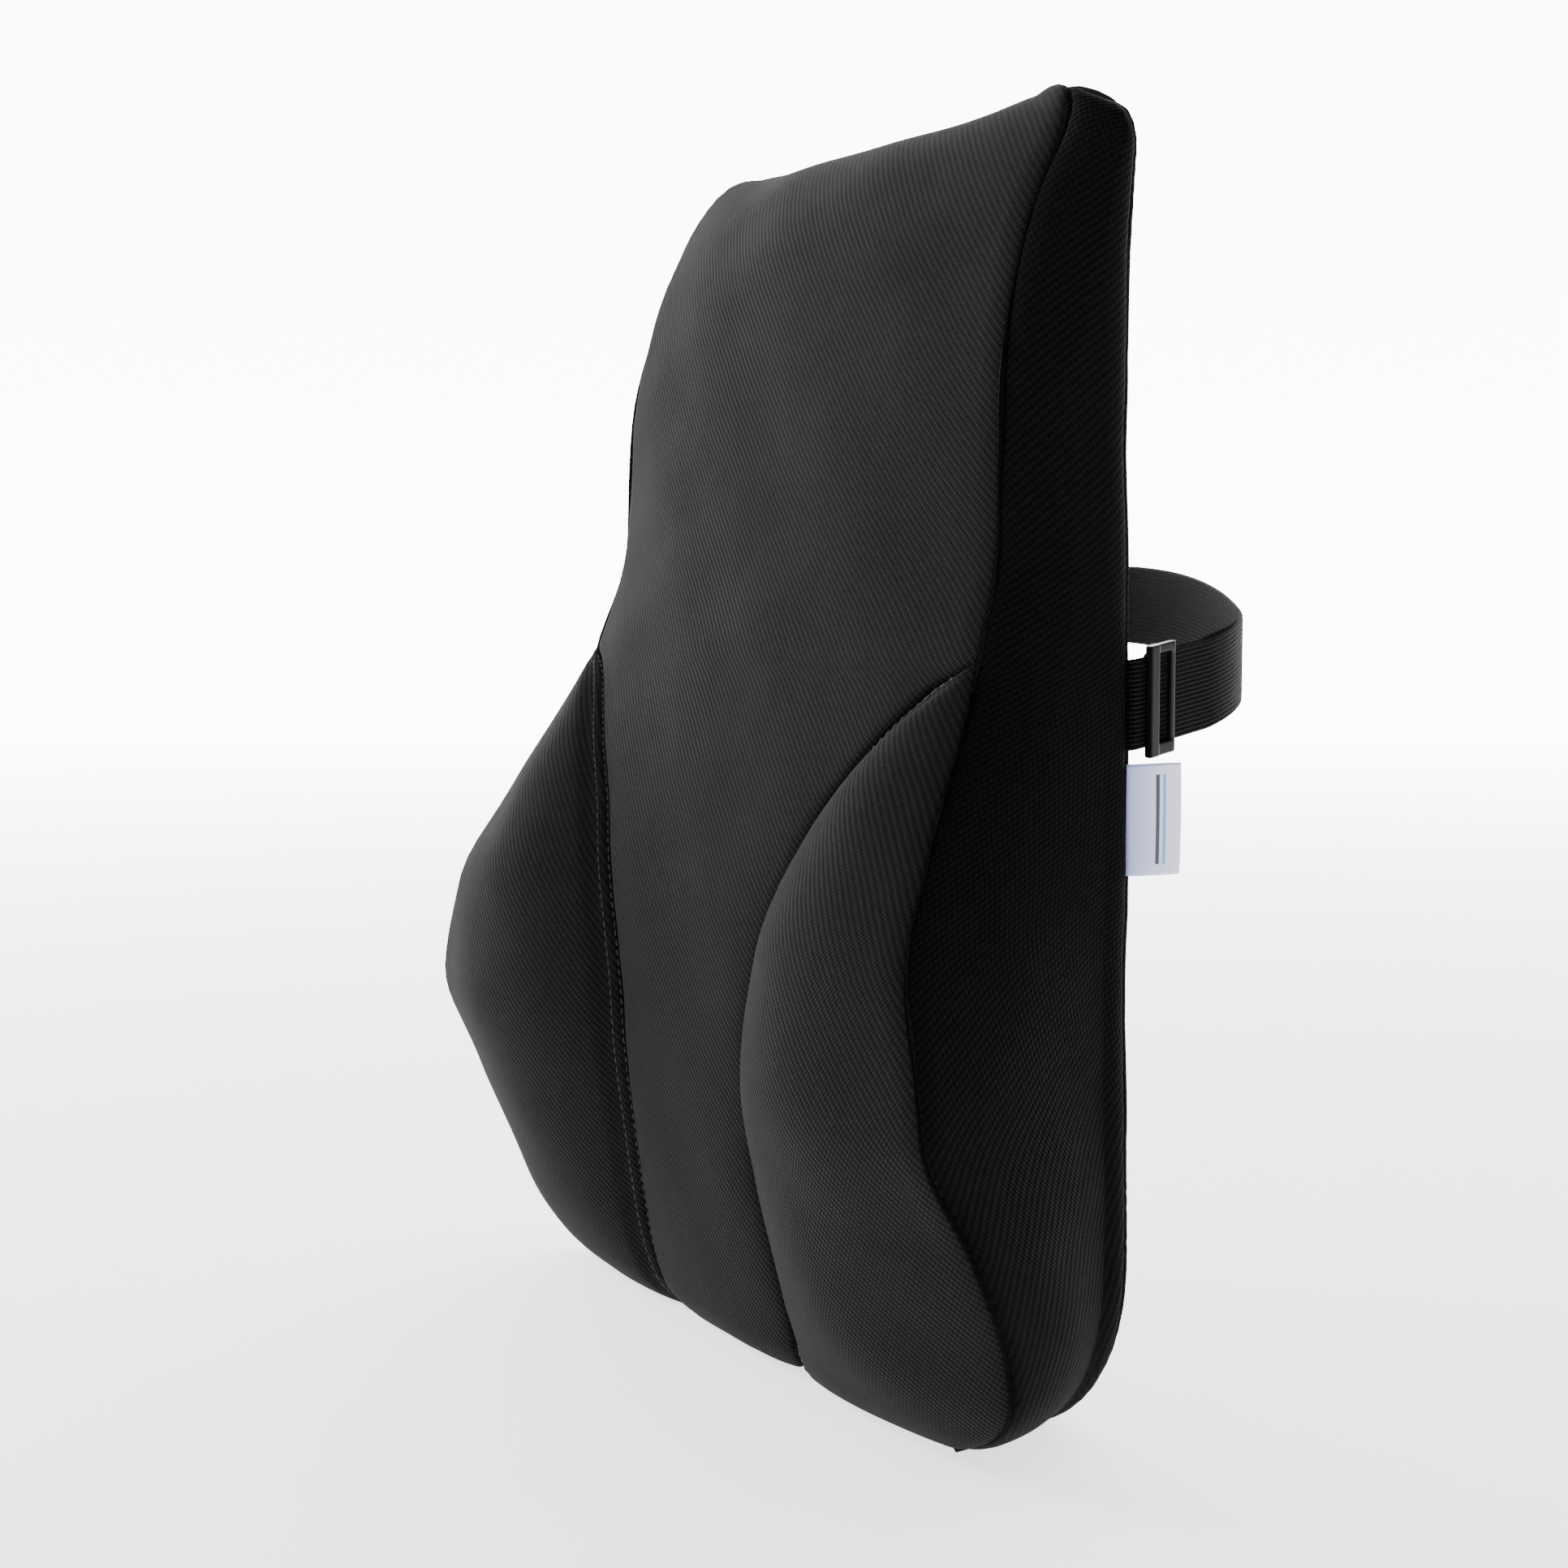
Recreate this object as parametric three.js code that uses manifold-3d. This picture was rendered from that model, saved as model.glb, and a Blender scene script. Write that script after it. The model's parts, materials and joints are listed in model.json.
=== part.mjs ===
// Lumbar support cushion: a contoured foam back rest in a sewn, zipped cover, with an
// elastic strap that holds it to a chair. Millimetres, +Z up. The cushion stands on its base,
// its contoured front faces -Y and its flat back faces +Y. The origin is on the floor.
import * as THREE from 'three';
import { mergeVertices } from 'three/addons/utils/BufferGeometryUtils.js';
import Module from 'manifold-3d';

const wasm = await Module();
wasm.setup();

// ---------------------------------------------------------------- driving dimensions
const HEIGHT = 450;
const BACK_Y = 42; // the flat back; depths below are measured forward from it
const GAP = 0.4; // clearance between layers
const SEAM_GAP = 0.3; // each panel stops this far short of its seam
const BASE_SEAM_GAP = 0.6; // the base panel lies a little further inside its rounded rim
const COVER = 2.2; // padded knit cover
const LINER = 0.8; // fire-barrier liner
const LINER_INSET = COVER + GAP;
const CORE_INSET = LINER_INSET + LINER + GAP;

// Front shape at a few heights: half width and depth of the side seam, depth on the centre
// line, half width of the spine channel, and how far the wing swells between its seams.
const STATIONS = [
  { z: 0, seamX: 182, seamDepth: 68, midDepth: 78, channelX: 58, crown: 2 },
  { z: 40, seamX: 196, seamDepth: 77, midDepth: 88, channelX: 56, crown: 15 },
  { z: 80, seamX: 203, seamDepth: 95, midDepth: 94, channelX: 52, crown: 19 },
  { z: 120, seamX: 200, seamDepth: 112, midDepth: 97, channelX: 53, crown: 21 },
  { z: 160, seamX: 187, seamDepth: 110, midDepth: 96, channelX: 63, crown: 18 },
  { z: 200, seamX: 170, seamDepth: 92, midDepth: 90, channelX: 83, crown: 12 },
  { z: 250, seamX: 152, seamDepth: 65, midDepth: 78, channelX: 127, crown: 3 },
  { z: 262, seamX: 149, seamDepth: 61, midDepth: 75, channelX: 143, crown: 0 },
  { z: 300, seamX: 144, seamDepth: 51, midDepth: 67, channelX: 118, crown: 0 },
  { z: 350, seamX: 142, seamDepth: 49, midDepth: 60, channelX: 96, crown: 0 },
  { z: 400, seamX: 138, seamDepth: 38, midDepth: 52, channelX: 88, crown: 0 },
  { z: 450, seamX: 136, seamDepth: 22, midDepth: 42, channelX: 78, crown: 0 },
];
const WING_TOP = 262; // the wings' inner seams run out into the side seams here
const VALLEY = { depth: 3, fade: 60 }; // how deep the wing seams pull in, and where that fades out
const FRONT_CROWN = 2.2; // exponent of the front's crown from side seam to side seam
const BACK_HALF = 162;
const BACK_TAPER = 6; // the back is this much narrower at the top, each side
const BACK_CORNER = 18;
const CORNER_SHARE = 0.45; // the rear corner takes at most this share of a thin section
const GUSSET_BULGE = { out: 4, full: 60 }; // full where the gusset is at least this deep
const WING_PEAK = 0.9; // below 1 the swell peaks nearer the spine channel
const CHANNEL_SHARE = 0.3; // how much of an inset the channel seams move in by

// Rounding of the ends: how far each face pulls in, over what height.
const TOP_RIDGE = { front: 9, seam: 7.5, back: 5 }; // depths that the top edge rolls into
const ROLL_SHARE = 0.89; // how much of the depth over a ridge the end's roll takes away
const TOP_FRONT_ROLL = 60;
const TOP_BACK_ROLL = 15;
const TOP_SIDE = { pull: 28, over: 26 };
const BASE_FRONT = { pull: 12, over: 14 };
const BASE_SEAM_SHARE = 0.3; // the side seams pull in less than the front between them
const BASE_SIDE = { pull: 58, over: 30 };
const BASE_BACK = { pull: 17, over: 50 };
const BASE_BACK_SIDE = { pull: 34, over: 62 };

const TOP_SAG = { drop: 4, over: 50 }; // the top edge dips between its corners
const TOP_SEAM = 445; // the front panel rolls over the top and ends here
const END_ZONE = 50; // layers under the skin are fitted into the end stretches of this height
const ZIP = { z: 70, band: 6, halfX: 134.9, share: 0.97 }; // share of the flat back where it narrows
const ROW_HEIGHTS = [
  0, 1.5, 5, 10, 17, 26, 38, 50, ZIP.z - ZIP.band, ZIP.z + ZIP.band, 92, 110, 128, 146, 164, 182,
  200, 218, 238, WING_TOP, 290, 320, 350, 380, 402, 418, 430, 438, TOP_SEAM, 448.4, HEIGHT,
];
const SPANS = { centre: 6, wing: 5, gusset: 3, corner: 4, back: 2 };

// The strap leaves the rear side seams at height z and climbs towards the middle of its loop.
const STRAP = {
  x: 157, out: -3.5, z: 245.6, height: 30, thick: 1.6, lean: 15, straight: 36, climb: 0.15,
  rise: 31, hook: { radius: 55, turn: 47 }, hookSteps: 6, wideSteps: 9,
};
const INNER = { offset: 4, from: 8, to: 67 };
const SLIDE = {
  from: 2.5, length: 13, height: 36.8, bar: 2.6, thick: 2, end: 2.6, corner: 2, bevel: 0.3, clear: 0.3,
  web: { half: 2.6, inset: 0.6, bite: 1 }, centre: { half: 1.6, inset: 1 },
};
const LABEL = { x: 154.6, depth: 4, reach: 19.5, thick: 0.8, low: 188.5, high: 225.5 };
const SLIDER_X = 126;

// ---------------------------------------------------------------- materials
const paint = (color, roughness, metalness = 0) =>
  new THREE.MeshStandardMaterial({ color, roughness, metalness });
const knitFront = paint(0x37373a, 0.92);
const knitSide = paint(0x19191b, 0.95);
const foam = paint(0xd9d2bd, 0.9);
const liner = paint(0xe6e4de, 0.95);
const tape = paint(0x151517, 0.9);
const nylon = paint(0x1b1b1d, 0.45);
const zincBlack = paint(0x202022, 0.35, 0.8);
const elastic = paint(0x17171a, 0.85);
const moulded = paint(0x1c1c1e, 0.35);
const satin = paint(0xcdd0e6, 0.45);

const part = new THREE.Group();

function add(name, geometry, material) {
  const mesh = new THREE.Mesh(geometry, material);
  mesh.name = name;
  part.add(mesh);
  return mesh;
}

// ---------------------------------------------------------------- cushion surface
// Cubic through the stations, with slopes that never overshoot a flat stretch.
function stationValue(key, z) {
  const last = STATIONS.length - 1;
  const slopeBetween = (i) =>
    (STATIONS[i + 1][key] - STATIONS[i][key]) / (STATIONS[i + 1].z - STATIONS[i].z);
  const tangent = (i) => {
    if (i === 0) return slopeBetween(0);
    if (i === last) return slopeBetween(last - 1);
    const before = slopeBetween(i - 1);
    const after = slopeBetween(i);
    return before * after <= 0 ? 0 : (2 * before * after) / (before + after);
  };
  let i = 0;
  while (i < last - 1 && z > STATIONS[i + 1].z) i += 1;
  const step = STATIONS[i + 1].z - STATIONS[i].z;
  const t = (z - STATIONS[i].z) / step;
  const rise = STATIONS[i + 1][key] - STATIONS[i][key];
  const [m0, m1] = [tangent(i) * step, tangent(i + 1) * step];
  return STATIONS[i][key] + t * m0 + t * t * (3 * rise - 2 * m0 - m1) + t ** 3 * (m0 + m1 - 2 * rise);
}

// 0 where the side is straight, growing to 1 at the very end of a quarter ellipse.
const roll = (distance, over) => {
  const t = THREE.MathUtils.clamp(1 - distance / over, 0, 1);
  return 1 - Math.sqrt(1 - t * t);
};

// Sizes of the cushion's section at height z, for a surface this far under the cover's skin.
function sectionAt(z, inset) {
  const fromTop = HEIGHT - z;
  const keep = 1 - ROLL_SHARE * roll(fromTop, TOP_FRONT_ROLL);
  const keepBack = 1 - ROLL_SHARE * roll(fromTop, TOP_BACK_ROLL);
  const front = BASE_FRONT.pull * roll(z, BASE_FRONT.over);
  const side = BASE_SIDE.pull * roll(z, BASE_SIDE.over) + TOP_SIDE.pull * roll(fromTop, TOP_SIDE.over);
  const backSide =
    BASE_BACK_SIDE.pull * roll(z, BASE_BACK_SIDE.over) + TOP_SIDE.pull * roll(fromTop, TOP_SIDE.over);
  const forward = (ridge, depth) => ridge + (depth - inset - ridge) * keep;
  const baseBack = BASE_BACK.pull * roll(z, BASE_BACK.over);
  return {
    seamX: stationValue('seamX', z) - side - inset,
    seamDepth: forward(TOP_RIDGE.seam, stationValue('seamDepth', z) - front * BASE_SEAM_SHARE),
    midDepth: forward(TOP_RIDGE.front, stationValue('midDepth', z) - front),
    channelX: stationValue('channelX', z) * (1 - side / stationValue('seamX', z)) - inset * CHANNEL_SHARE,
    crown: stationValue('crown', z) * keep,
    backX: BACK_HALF - (BACK_TAPER * z) / HEIGHT - backSide - inset,
    backIn: TOP_RIDGE.back - (TOP_RIDGE.back - inset) * keepBack + baseBack,
    valley: z < WING_TOP ? VALLEY.depth * Math.min(1, (WING_TOP - z) / VALLEY.fade) : 0,
  };
}

// Right half of a section, from the front centre round to the back centre, as [x, depth].
function halfOutline(z, inset) {
  const s = sectionAt(z, inset);
  const crowned = (x) =>
    s.seamDepth + (s.midDepth - s.seamDepth) * (1 - Math.abs(x / s.seamX) ** FRONT_CROWN);
  const points = [];
  for (let i = 0; i <= SPANS.centre; i += 1) {
    const t = i / SPANS.centre;
    points.push([t * s.channelX, crowned(t * s.channelX) - s.valley * t ** 4]);
  }
  for (let i = 1; i <= SPANS.wing; i += 1) {
    const t = i / SPANS.wing;
    const x = THREE.MathUtils.lerp(s.channelX, s.seamX, t);
    const swell = s.crown * Math.sin(Math.PI * t ** WING_PEAK) - s.valley * (1 - t) ** 4;
    points.push([x, crowned(x) + swell]);
  }
  const radius = Math.min(BACK_CORNER, (s.seamDepth - s.backIn) * CORNER_SHARE);
  for (let i = 1; i <= SPANS.gusset; i += 1) {
    const t = i / SPANS.gusset;
    const fullness = Math.min(1, (s.seamDepth - s.backIn) / GUSSET_BULGE.full);
    const bulge = GUSSET_BULGE.out * Math.sin(Math.PI * t) * fullness;
    points.push([
      THREE.MathUtils.lerp(s.seamX, s.backX, t) + bulge,
      THREE.MathUtils.lerp(s.seamDepth, s.backIn + radius, t),
    ]);
  }
  for (let i = 1; i <= SPANS.corner; i += 1) {
    const turn = (Math.PI / 2) * (i / SPANS.corner);
    points.push([
      s.backX - radius * (1 - Math.cos(turn)),
      s.backIn + radius * (1 - Math.sin(turn)),
    ]);
  }
  points.push([Math.min(ZIP.halfX, ZIP.share * (s.backX - radius)), s.backIn]);
  points.push([0, s.backIn]);
  return points;
}

const HALF = SPANS.centre + SPANS.wing + SPANS.gusset + SPANS.corner + SPANS.back;
const AROUND = 2 * HALF;

// Height of a row in a layer under the skin: only the end stretches are squeezed.
function layerHeight(z, inset) {
  const squeeze = (distance) => inset * Math.max(0, 1 - distance / END_ZONE);
  return z + squeeze(z) - squeeze(HEIGHT - z);
}

// Every point of the closed surface at one inset, row by row.
function surfacePoints(inset) {
  const points = [];
  for (const z of ROW_HEIGHTS) {
    const half = halfOutline(z, inset);
    const height = layerHeight(z, inset);
    const sag = TOP_SAG.drop * Math.max(0, 1 - (HEIGHT - z) / TOP_SAG.over) ** 2;
    const widest = Math.max(...half.map(([x]) => x));
    for (let c = 0; c < AROUND; c += 1) {
      const [x, depth] = half[c <= HALF ? c : AROUND - c];
      const dip = sag * (1 - (x / widest) ** 2);
      points.push(new THREE.Vector3(c <= HALF ? x : -x, BACK_Y - depth, height - dip));
    }
  }
  return points;
}

// Which cover panel owns the patch between two rows and two columns.
function panelOf(row, column) {
  const right = column < HALF;
  const span = right ? column : AROUND - 1 - column;
  const side = right ? 'right' : 'left';
  const z = (ROW_HEIGHTS[row] + ROW_HEIGHTS[row + 1]) / 2;
  const wingEnd = SPANS.centre + SPANS.wing;
  const gussetEnd = wingEnd + SPANS.gusset + SPANS.corner / 2;
  if (z > TOP_SEAM) return 'cover_front_centre';
  if (span < SPANS.centre) return 'cover_front_centre';
  if (span < wingEnd) return z > WING_TOP ? 'cover_front_centre' : `cover_wing_${side}`;
  if (span < gussetEnd) return `cover_side_${side}`;
  const inZip = Math.abs(z - ZIP.z) < ZIP.band;
  if (inZip && span === HALF - 1) return 'zip_slot';
  return z > ZIP.z + ZIP.band ? 'cover_back_upper' : 'cover_back_lower';
}

function surfaceTriangles() {
  const faces = [];
  for (let r = 0; r < ROW_HEIGHTS.length - 1; r += 1) {
    for (let c = 0; c < AROUND; c += 1) {
      const next = (c + 1) % AROUND;
      const [a, b] = [r * AROUND + c, r * AROUND + next];
      const [d, e] = [a + AROUND, b + AROUND];
      const panel = panelOf(r, c);
      const slanted = c < HALF ? [[a, b, e], [a, e, d]] : [[a, b, d], [b, e, d]];
      for (const corners of slanted) faces.push({ panel, corners });
    }
  }
  const skin = surfacePoints(0);
  const flat = (row) =>
    skin.slice(row * AROUND, (row + 1) * AROUND).map((p) => new THREE.Vector2(p.x, p.y));
  const caps = [
    { row: 0, panel: 'cover_base' },
    { row: ROW_HEIGHTS.length - 1, panel: 'cover_front_centre' },
  ];
  for (const cap of caps) {
    for (const triangle of THREE.ShapeUtils.triangulateShape(flat(cap.row), [])) {
      const corners = triangle.map((i) => cap.row * AROUND + i);
      if (cap.row === 0) corners.reverse();
      faces.push({ panel: cap.panel, corners });
    }
  }
  return faces;
}

const FACES = surfaceTriangles();

function meshFrom(points, triangles) {
  const geometry = new THREE.BufferGeometry();
  geometry.setAttribute('position', new THREE.Float32BufferAttribute(points.flatMap((p) => [...p]), 3));
  geometry.setIndex(triangles.flat());
  return geometry;
}

// A solid sheet between two insets of the surface, cut back a little along its edges.
function sheet(panels, outerInset, innerInset, seamGap = SEAM_GAP) {
  const faces = FACES.filter((face) => panels.includes(face.panel)).map((face) => face.corners);
  const used = [...new Set(faces.flat())];
  const index = new Map(used.map((v, i) => [v, i]));
  const local = faces.map((face) => face.map((v) => index.get(v)));
  const directed = new Set(local.flatMap(([a, b, c]) => [`${a},${b}`, `${b},${c}`, `${c},${a}`]));
  const rim = [];
  for (const [a, b, c] of local) {
    for (const [from, to, third] of [[a, b, c], [b, c, a], [c, a, b]]) {
      if (!directed.has(`${to},${from}`)) rim.push([from, to, third]);
    }
  }
  const layers = [outerInset, innerInset].map((inset) => {
    const all = surfacePoints(inset);
    const points = used.map((v) => all[v]);
    return trimRim(points, rim, seamGap);
  });
  const count = used.length;
  const triangles = [...local, ...local.map(([a, b, c]) => [a + count, c + count, b + count])];
  for (const [from, to] of rim) {
    triangles.push([to, from, from + count], [to, from + count, to + count]);
  }
  return meshFrom([...layers[0], ...layers[1]], triangles);
}

// Moves the points on an open edge inward, along the surface, by the seam gap.
function trimRim(points, rim, seamGap) {
  const pulls = new Map();
  for (const [from, to, third] of rim) {
    const along = points[to].clone().sub(points[from]).normalize();
    const inward = points[third].clone().sub(points[from]);
    inward.addScaledVector(along, -inward.dot(along)).normalize();
    for (const v of [from, to]) pulls.set(v, [...(pulls.get(v) ?? []), inward]);
  }
  return points.map((point, v) => {
    const inwards = pulls.get(v);
    if (!inwards) return point;
    const total = inwards.reduce((sum, each) => sum.add(each), new THREE.Vector3());
    const mitre = Math.max(total.length() / inwards.length, 0.5);
    return point.clone().addScaledVector(total.normalize(), seamGap / mitre);
  });
}

const COVER_PANELS = {
  cover_front_centre: knitFront,
  cover_wing_left: knitFront,
  cover_wing_right: knitFront,
  cover_side_left: knitSide,
  cover_side_right: knitSide,
  cover_back_upper: knitSide,
  cover_back_lower: knitSide,
  cover_base: knitSide,
};
for (const [name, material] of Object.entries(COVER_PANELS)) {
  const seamGap = name === 'cover_base' ? BASE_SEAM_GAP : SEAM_GAP;
  add(name, sheet([name], 0, COVER, seamGap), material);
}

const frontPanels = ['cover_front_centre', 'cover_wing_left', 'cover_wing_right'];
const backPanels = Object.keys(COVER_PANELS).filter((name) => !frontPanels.includes(name));
add('liner_front', sheet(frontPanels, LINER_INSET, LINER_INSET + LINER), liner);
add('liner_back', sheet([...backPanels, 'zip_slot'], LINER_INSET, LINER_INSET + LINER), liner);
add('foam_core', meshFrom(surfacePoints(CORE_INSET), FACES.map((face) => face.corners)), foam);

// ---------------------------------------------------------------- joining simple shapes
function block(x0, x1, y0, y1, z0, z1) {
  const box = new THREE.BoxGeometry(x1 - x0, y1 - y0, z1 - z0);
  return box.translate((x0 + x1) / 2, (y0 + y1) / 2, (z0 + z1) / 2);
}

function toManifold(geometry) {
  const bare = new THREE.BufferGeometry();
  bare.setAttribute('position', geometry.getAttribute('position').clone());
  if (geometry.index) bare.setIndex(geometry.index.clone());
  const merged = mergeVertices(bare, 1e-4);
  return new wasm.Manifold(
    new wasm.Mesh({
      numProp: 3,
      vertProperties: new Float32Array(merged.getAttribute('position').array),
      triVerts: new Uint32Array(merged.index.array),
    }),
  );
}

function join(geometries) {
  const whole = geometries.map(toManifold).reduce((sum, each) => sum.add(each));
  const mesh = whole.getMesh();
  const geometry = new THREE.BufferGeometry();
  geometry.setAttribute('position', new THREE.Float32BufferAttribute(mesh.vertProperties, 3));
  geometry.setIndex([...mesh.triVerts]);
  return geometry;
}

// ---------------------------------------------------------------- zip across the lower back
const zipLayer = {
  plate: [BACK_Y - 2.2, BACK_Y - 1.6],
  tape: [BACK_Y - 1.3, BACK_Y - 0.5],
  coil: [BACK_Y - 0.2, BACK_Y + 1.6],
  cap: [BACK_Y + 1.9, BACK_Y + 3.1],
};
const COIL_GAP = 0.6; // half the slit that the slider's post runs in
const COIL_WIDTH = 2.2;
const COIL_END = 131;
const TAPE_WIDTH = 5;
const STOP = { length: 3, half: 3.2 };
for (const [half, up] of [['upper', 1], ['lower', -1]]) {
  const span = (width) => [ZIP.z + up * COIL_GAP, ZIP.z + up * (COIL_GAP + width)].sort((a, b) => a - b);
  const tapeEnd = ZIP.halfX - 0.5;
  add(`zip_tape_${half}`, block(-tapeEnd, tapeEnd, ...zipLayer.tape, ...span(TAPE_WIDTH)), tape);
  add(`zip_coil_${half}`, block(-COIL_END, COIL_END, ...zipLayer.coil, ...span(COIL_WIDTH)), nylon);
}
for (const [side, sign] of [['right', 1], ['left', -1]]) {
  const inner = COIL_END + SEAM_GAP;
  const [near, far] = [inner * sign, (inner + STOP.length) * sign].sort((a, b) => a - b);
  const heights = [ZIP.z - STOP.half, ZIP.z + STOP.half];
  add(`zip_stop_${side}`, block(near, far, ...zipLayer.coil, ...heights), zincBlack);
}

const OVERLAP = 0.1; // joined shapes run this far into each other
const SLIDER = { halfLength: 4.5, halfWidth: 4, postFrom: 1, postHalf: 0.25 };
const LOOP = { half: 3.2, bar: 1, top: BACK_Y + 6.3, thick: 0.8 }; // the slider's bridge for its pull
const PULL = {
  y: BACK_Y + 4.3, half: 0.6, ring: { half: 3, bar: 1.2, reach: 5.4 }, tab: { end: 26, half: 3.5 },
};
const byZip = (x0, x1, y, z0, z1) =>
  block(SLIDER_X + x0, SLIDER_X + x1, ...y, ZIP.z + z0, ZIP.z + z1);

function zipSlider() {
  const { halfLength, halfWidth, postFrom, postHalf } = SLIDER;
  const legs = [zipLayer.cap[1] - OVERLAP, LOOP.top];
  const post = [zipLayer.plate[1] - OVERLAP, zipLayer.cap[0] + OVERLAP];
  return join([
    byZip(-halfLength, halfLength, zipLayer.plate, -halfWidth, halfWidth),
    byZip(-halfLength, halfLength, zipLayer.cap, -halfWidth, halfWidth),
    byZip(postFrom, halfLength, post, -postHalf, postHalf),
    byZip(-LOOP.half, LOOP.bar - LOOP.half, legs, -LOOP.bar, LOOP.bar),
    byZip(LOOP.half - LOOP.bar, LOOP.half, legs, -LOOP.bar, LOOP.bar),
    byZip(-LOOP.half, LOOP.half, [LOOP.top - LOOP.thick, LOOP.top], -LOOP.bar, LOOP.bar),
  ]);
}
add('zip_slider', zipSlider(), zincBlack);

// A ring that hangs in the slider's bridge, and a tab on its far side.
function zipPull() {
  const { half, ring, tab } = PULL;
  const thin = [PULL.y - half, PULL.y + half];
  return join([
    byZip(-half, half, thin, -ring.half, ring.half),
    byZip(-ring.reach, half, thin, -ring.half, ring.bar - ring.half),
    byZip(-ring.reach, half, thin, ring.half - ring.bar, ring.half),
    byZip(-tab.end, 2 * OVERLAP - ring.reach, thin, -tab.half, tab.half),
  ]);
}
add('zip_pull', zipPull(), zincBlack);

// ---------------------------------------------------------------- strap
// Half of the strap's route seen from above: straight out of the side seam, a round
// turn, then one wide arc to the middle of the chair back.
const leanAngle = THREE.MathUtils.degToRad(90 + STRAP.lean);
function strapRoute() {
  const route = [];
  const hookTurn = THREE.MathUtils.degToRad(STRAP.hook.turn);
  const start = new THREE.Vector2(STRAP.x, BACK_Y + STRAP.out);
  const heading = (angle) => new THREE.Vector2(Math.cos(angle), Math.sin(angle));
  const bend = (from, radius, a0, a1) =>
    from.clone().add(
      new THREE.Vector2(Math.sin(a1) - Math.sin(a0), Math.cos(a0) - Math.cos(a1)).multiplyScalar(radius),
    );
  for (const s of [0, INNER.from, STRAP.straight / 2, STRAP.straight]) {
    route.push({ at: start.clone().addScaledVector(heading(leanAngle), s), angle: leanAngle, s });
  }
  const hookStart = route.at(-1).at;
  const hookEnd = leanAngle + hookTurn;
  for (let i = 1; i <= STRAP.hookSteps; i += 1) {
    const angle = leanAngle + (hookTurn * i) / STRAP.hookSteps;
    const s = STRAP.straight + STRAP.hook.radius * (angle - leanAngle);
    route.push({ at: bend(hookStart, STRAP.hook.radius, leanAngle, angle), angle, s });
  }
  const wideStart = route.at(-1);
  const wideRadius = wideStart.at.x / Math.sin(Math.PI - hookEnd);
  for (let i = 1; i <= STRAP.wideSteps; i += 1) {
    const angle = hookEnd + ((Math.PI - hookEnd) * i) / STRAP.wideSteps;
    const s = wideStart.s + wideRadius * (angle - hookEnd);
    route.push({ at: bend(wideStart.at, wideRadius, hookEnd, angle), angle, s });
  }
  return route;
}

const halfRoute = strapRoute();
const halfLength = halfRoute.at(-1).s;
const lift = (s) => {
  const straightLift = STRAP.climb * Math.min(s, STRAP.straight);
  const t = Math.max(0, (s - STRAP.straight) / (halfLength - STRAP.straight));
  return straightLift + (STRAP.rise - STRAP.climb * STRAP.straight) * Math.sin((Math.PI / 2) * t);
};

// A flat band standing on edge along the route, shifted sideways by offset.
function band(route, offset, thick, height) {
  const points = [];
  const triangles = [];
  route.forEach(({ at, angle, s }, i) => {
    const out = new THREE.Vector2(Math.sin(angle), -Math.cos(angle));
    const z = STRAP.z + lift(s);
    const corners = [[-1, -1], [1, -1], [1, 1], [-1, 1]];
    for (const [side, up] of corners) {
      const p = at.clone().addScaledVector(out, offset + (side * thick) / 2);
      points.push(new THREE.Vector3(p.x, p.y, z + (up * height) / 2));
    }
    if (i === 0) return;
    for (let k = 0; k < 4; k += 1) {
      const [a, b] = [4 * (i - 1) + k, 4 * (i - 1) + ((k + 1) % 4)];
      triangles.push([a, a + 4, b + 4], [a, b + 4, b]);
    }
  });
  const end = 4 * (route.length - 1);
  triangles.push([0, 1, 2], [0, 2, 3], [end, end + 2, end + 1], [end, end + 3, end + 2]);
  return meshFrom(points, triangles);
}

const otherHalf = halfRoute
  .slice(0, -1)
  .reverse()
  .map(({ at, angle, s }) => ({ at: new THREE.Vector2(-at.x, at.y), angle: 2 * Math.PI - angle, s }));
add('strap_webbing', band([...halfRoute, ...otherHalf], 0, STRAP.thick, STRAP.height), elastic);

const innerRoute = halfRoute.filter(({ s }) => s > INNER.from - 0.1 && s < INNER.to);
add('strap_inner_layer', band(innerRoute, -INNER.offset, STRAP.thick, STRAP.height), elastic);

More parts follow.
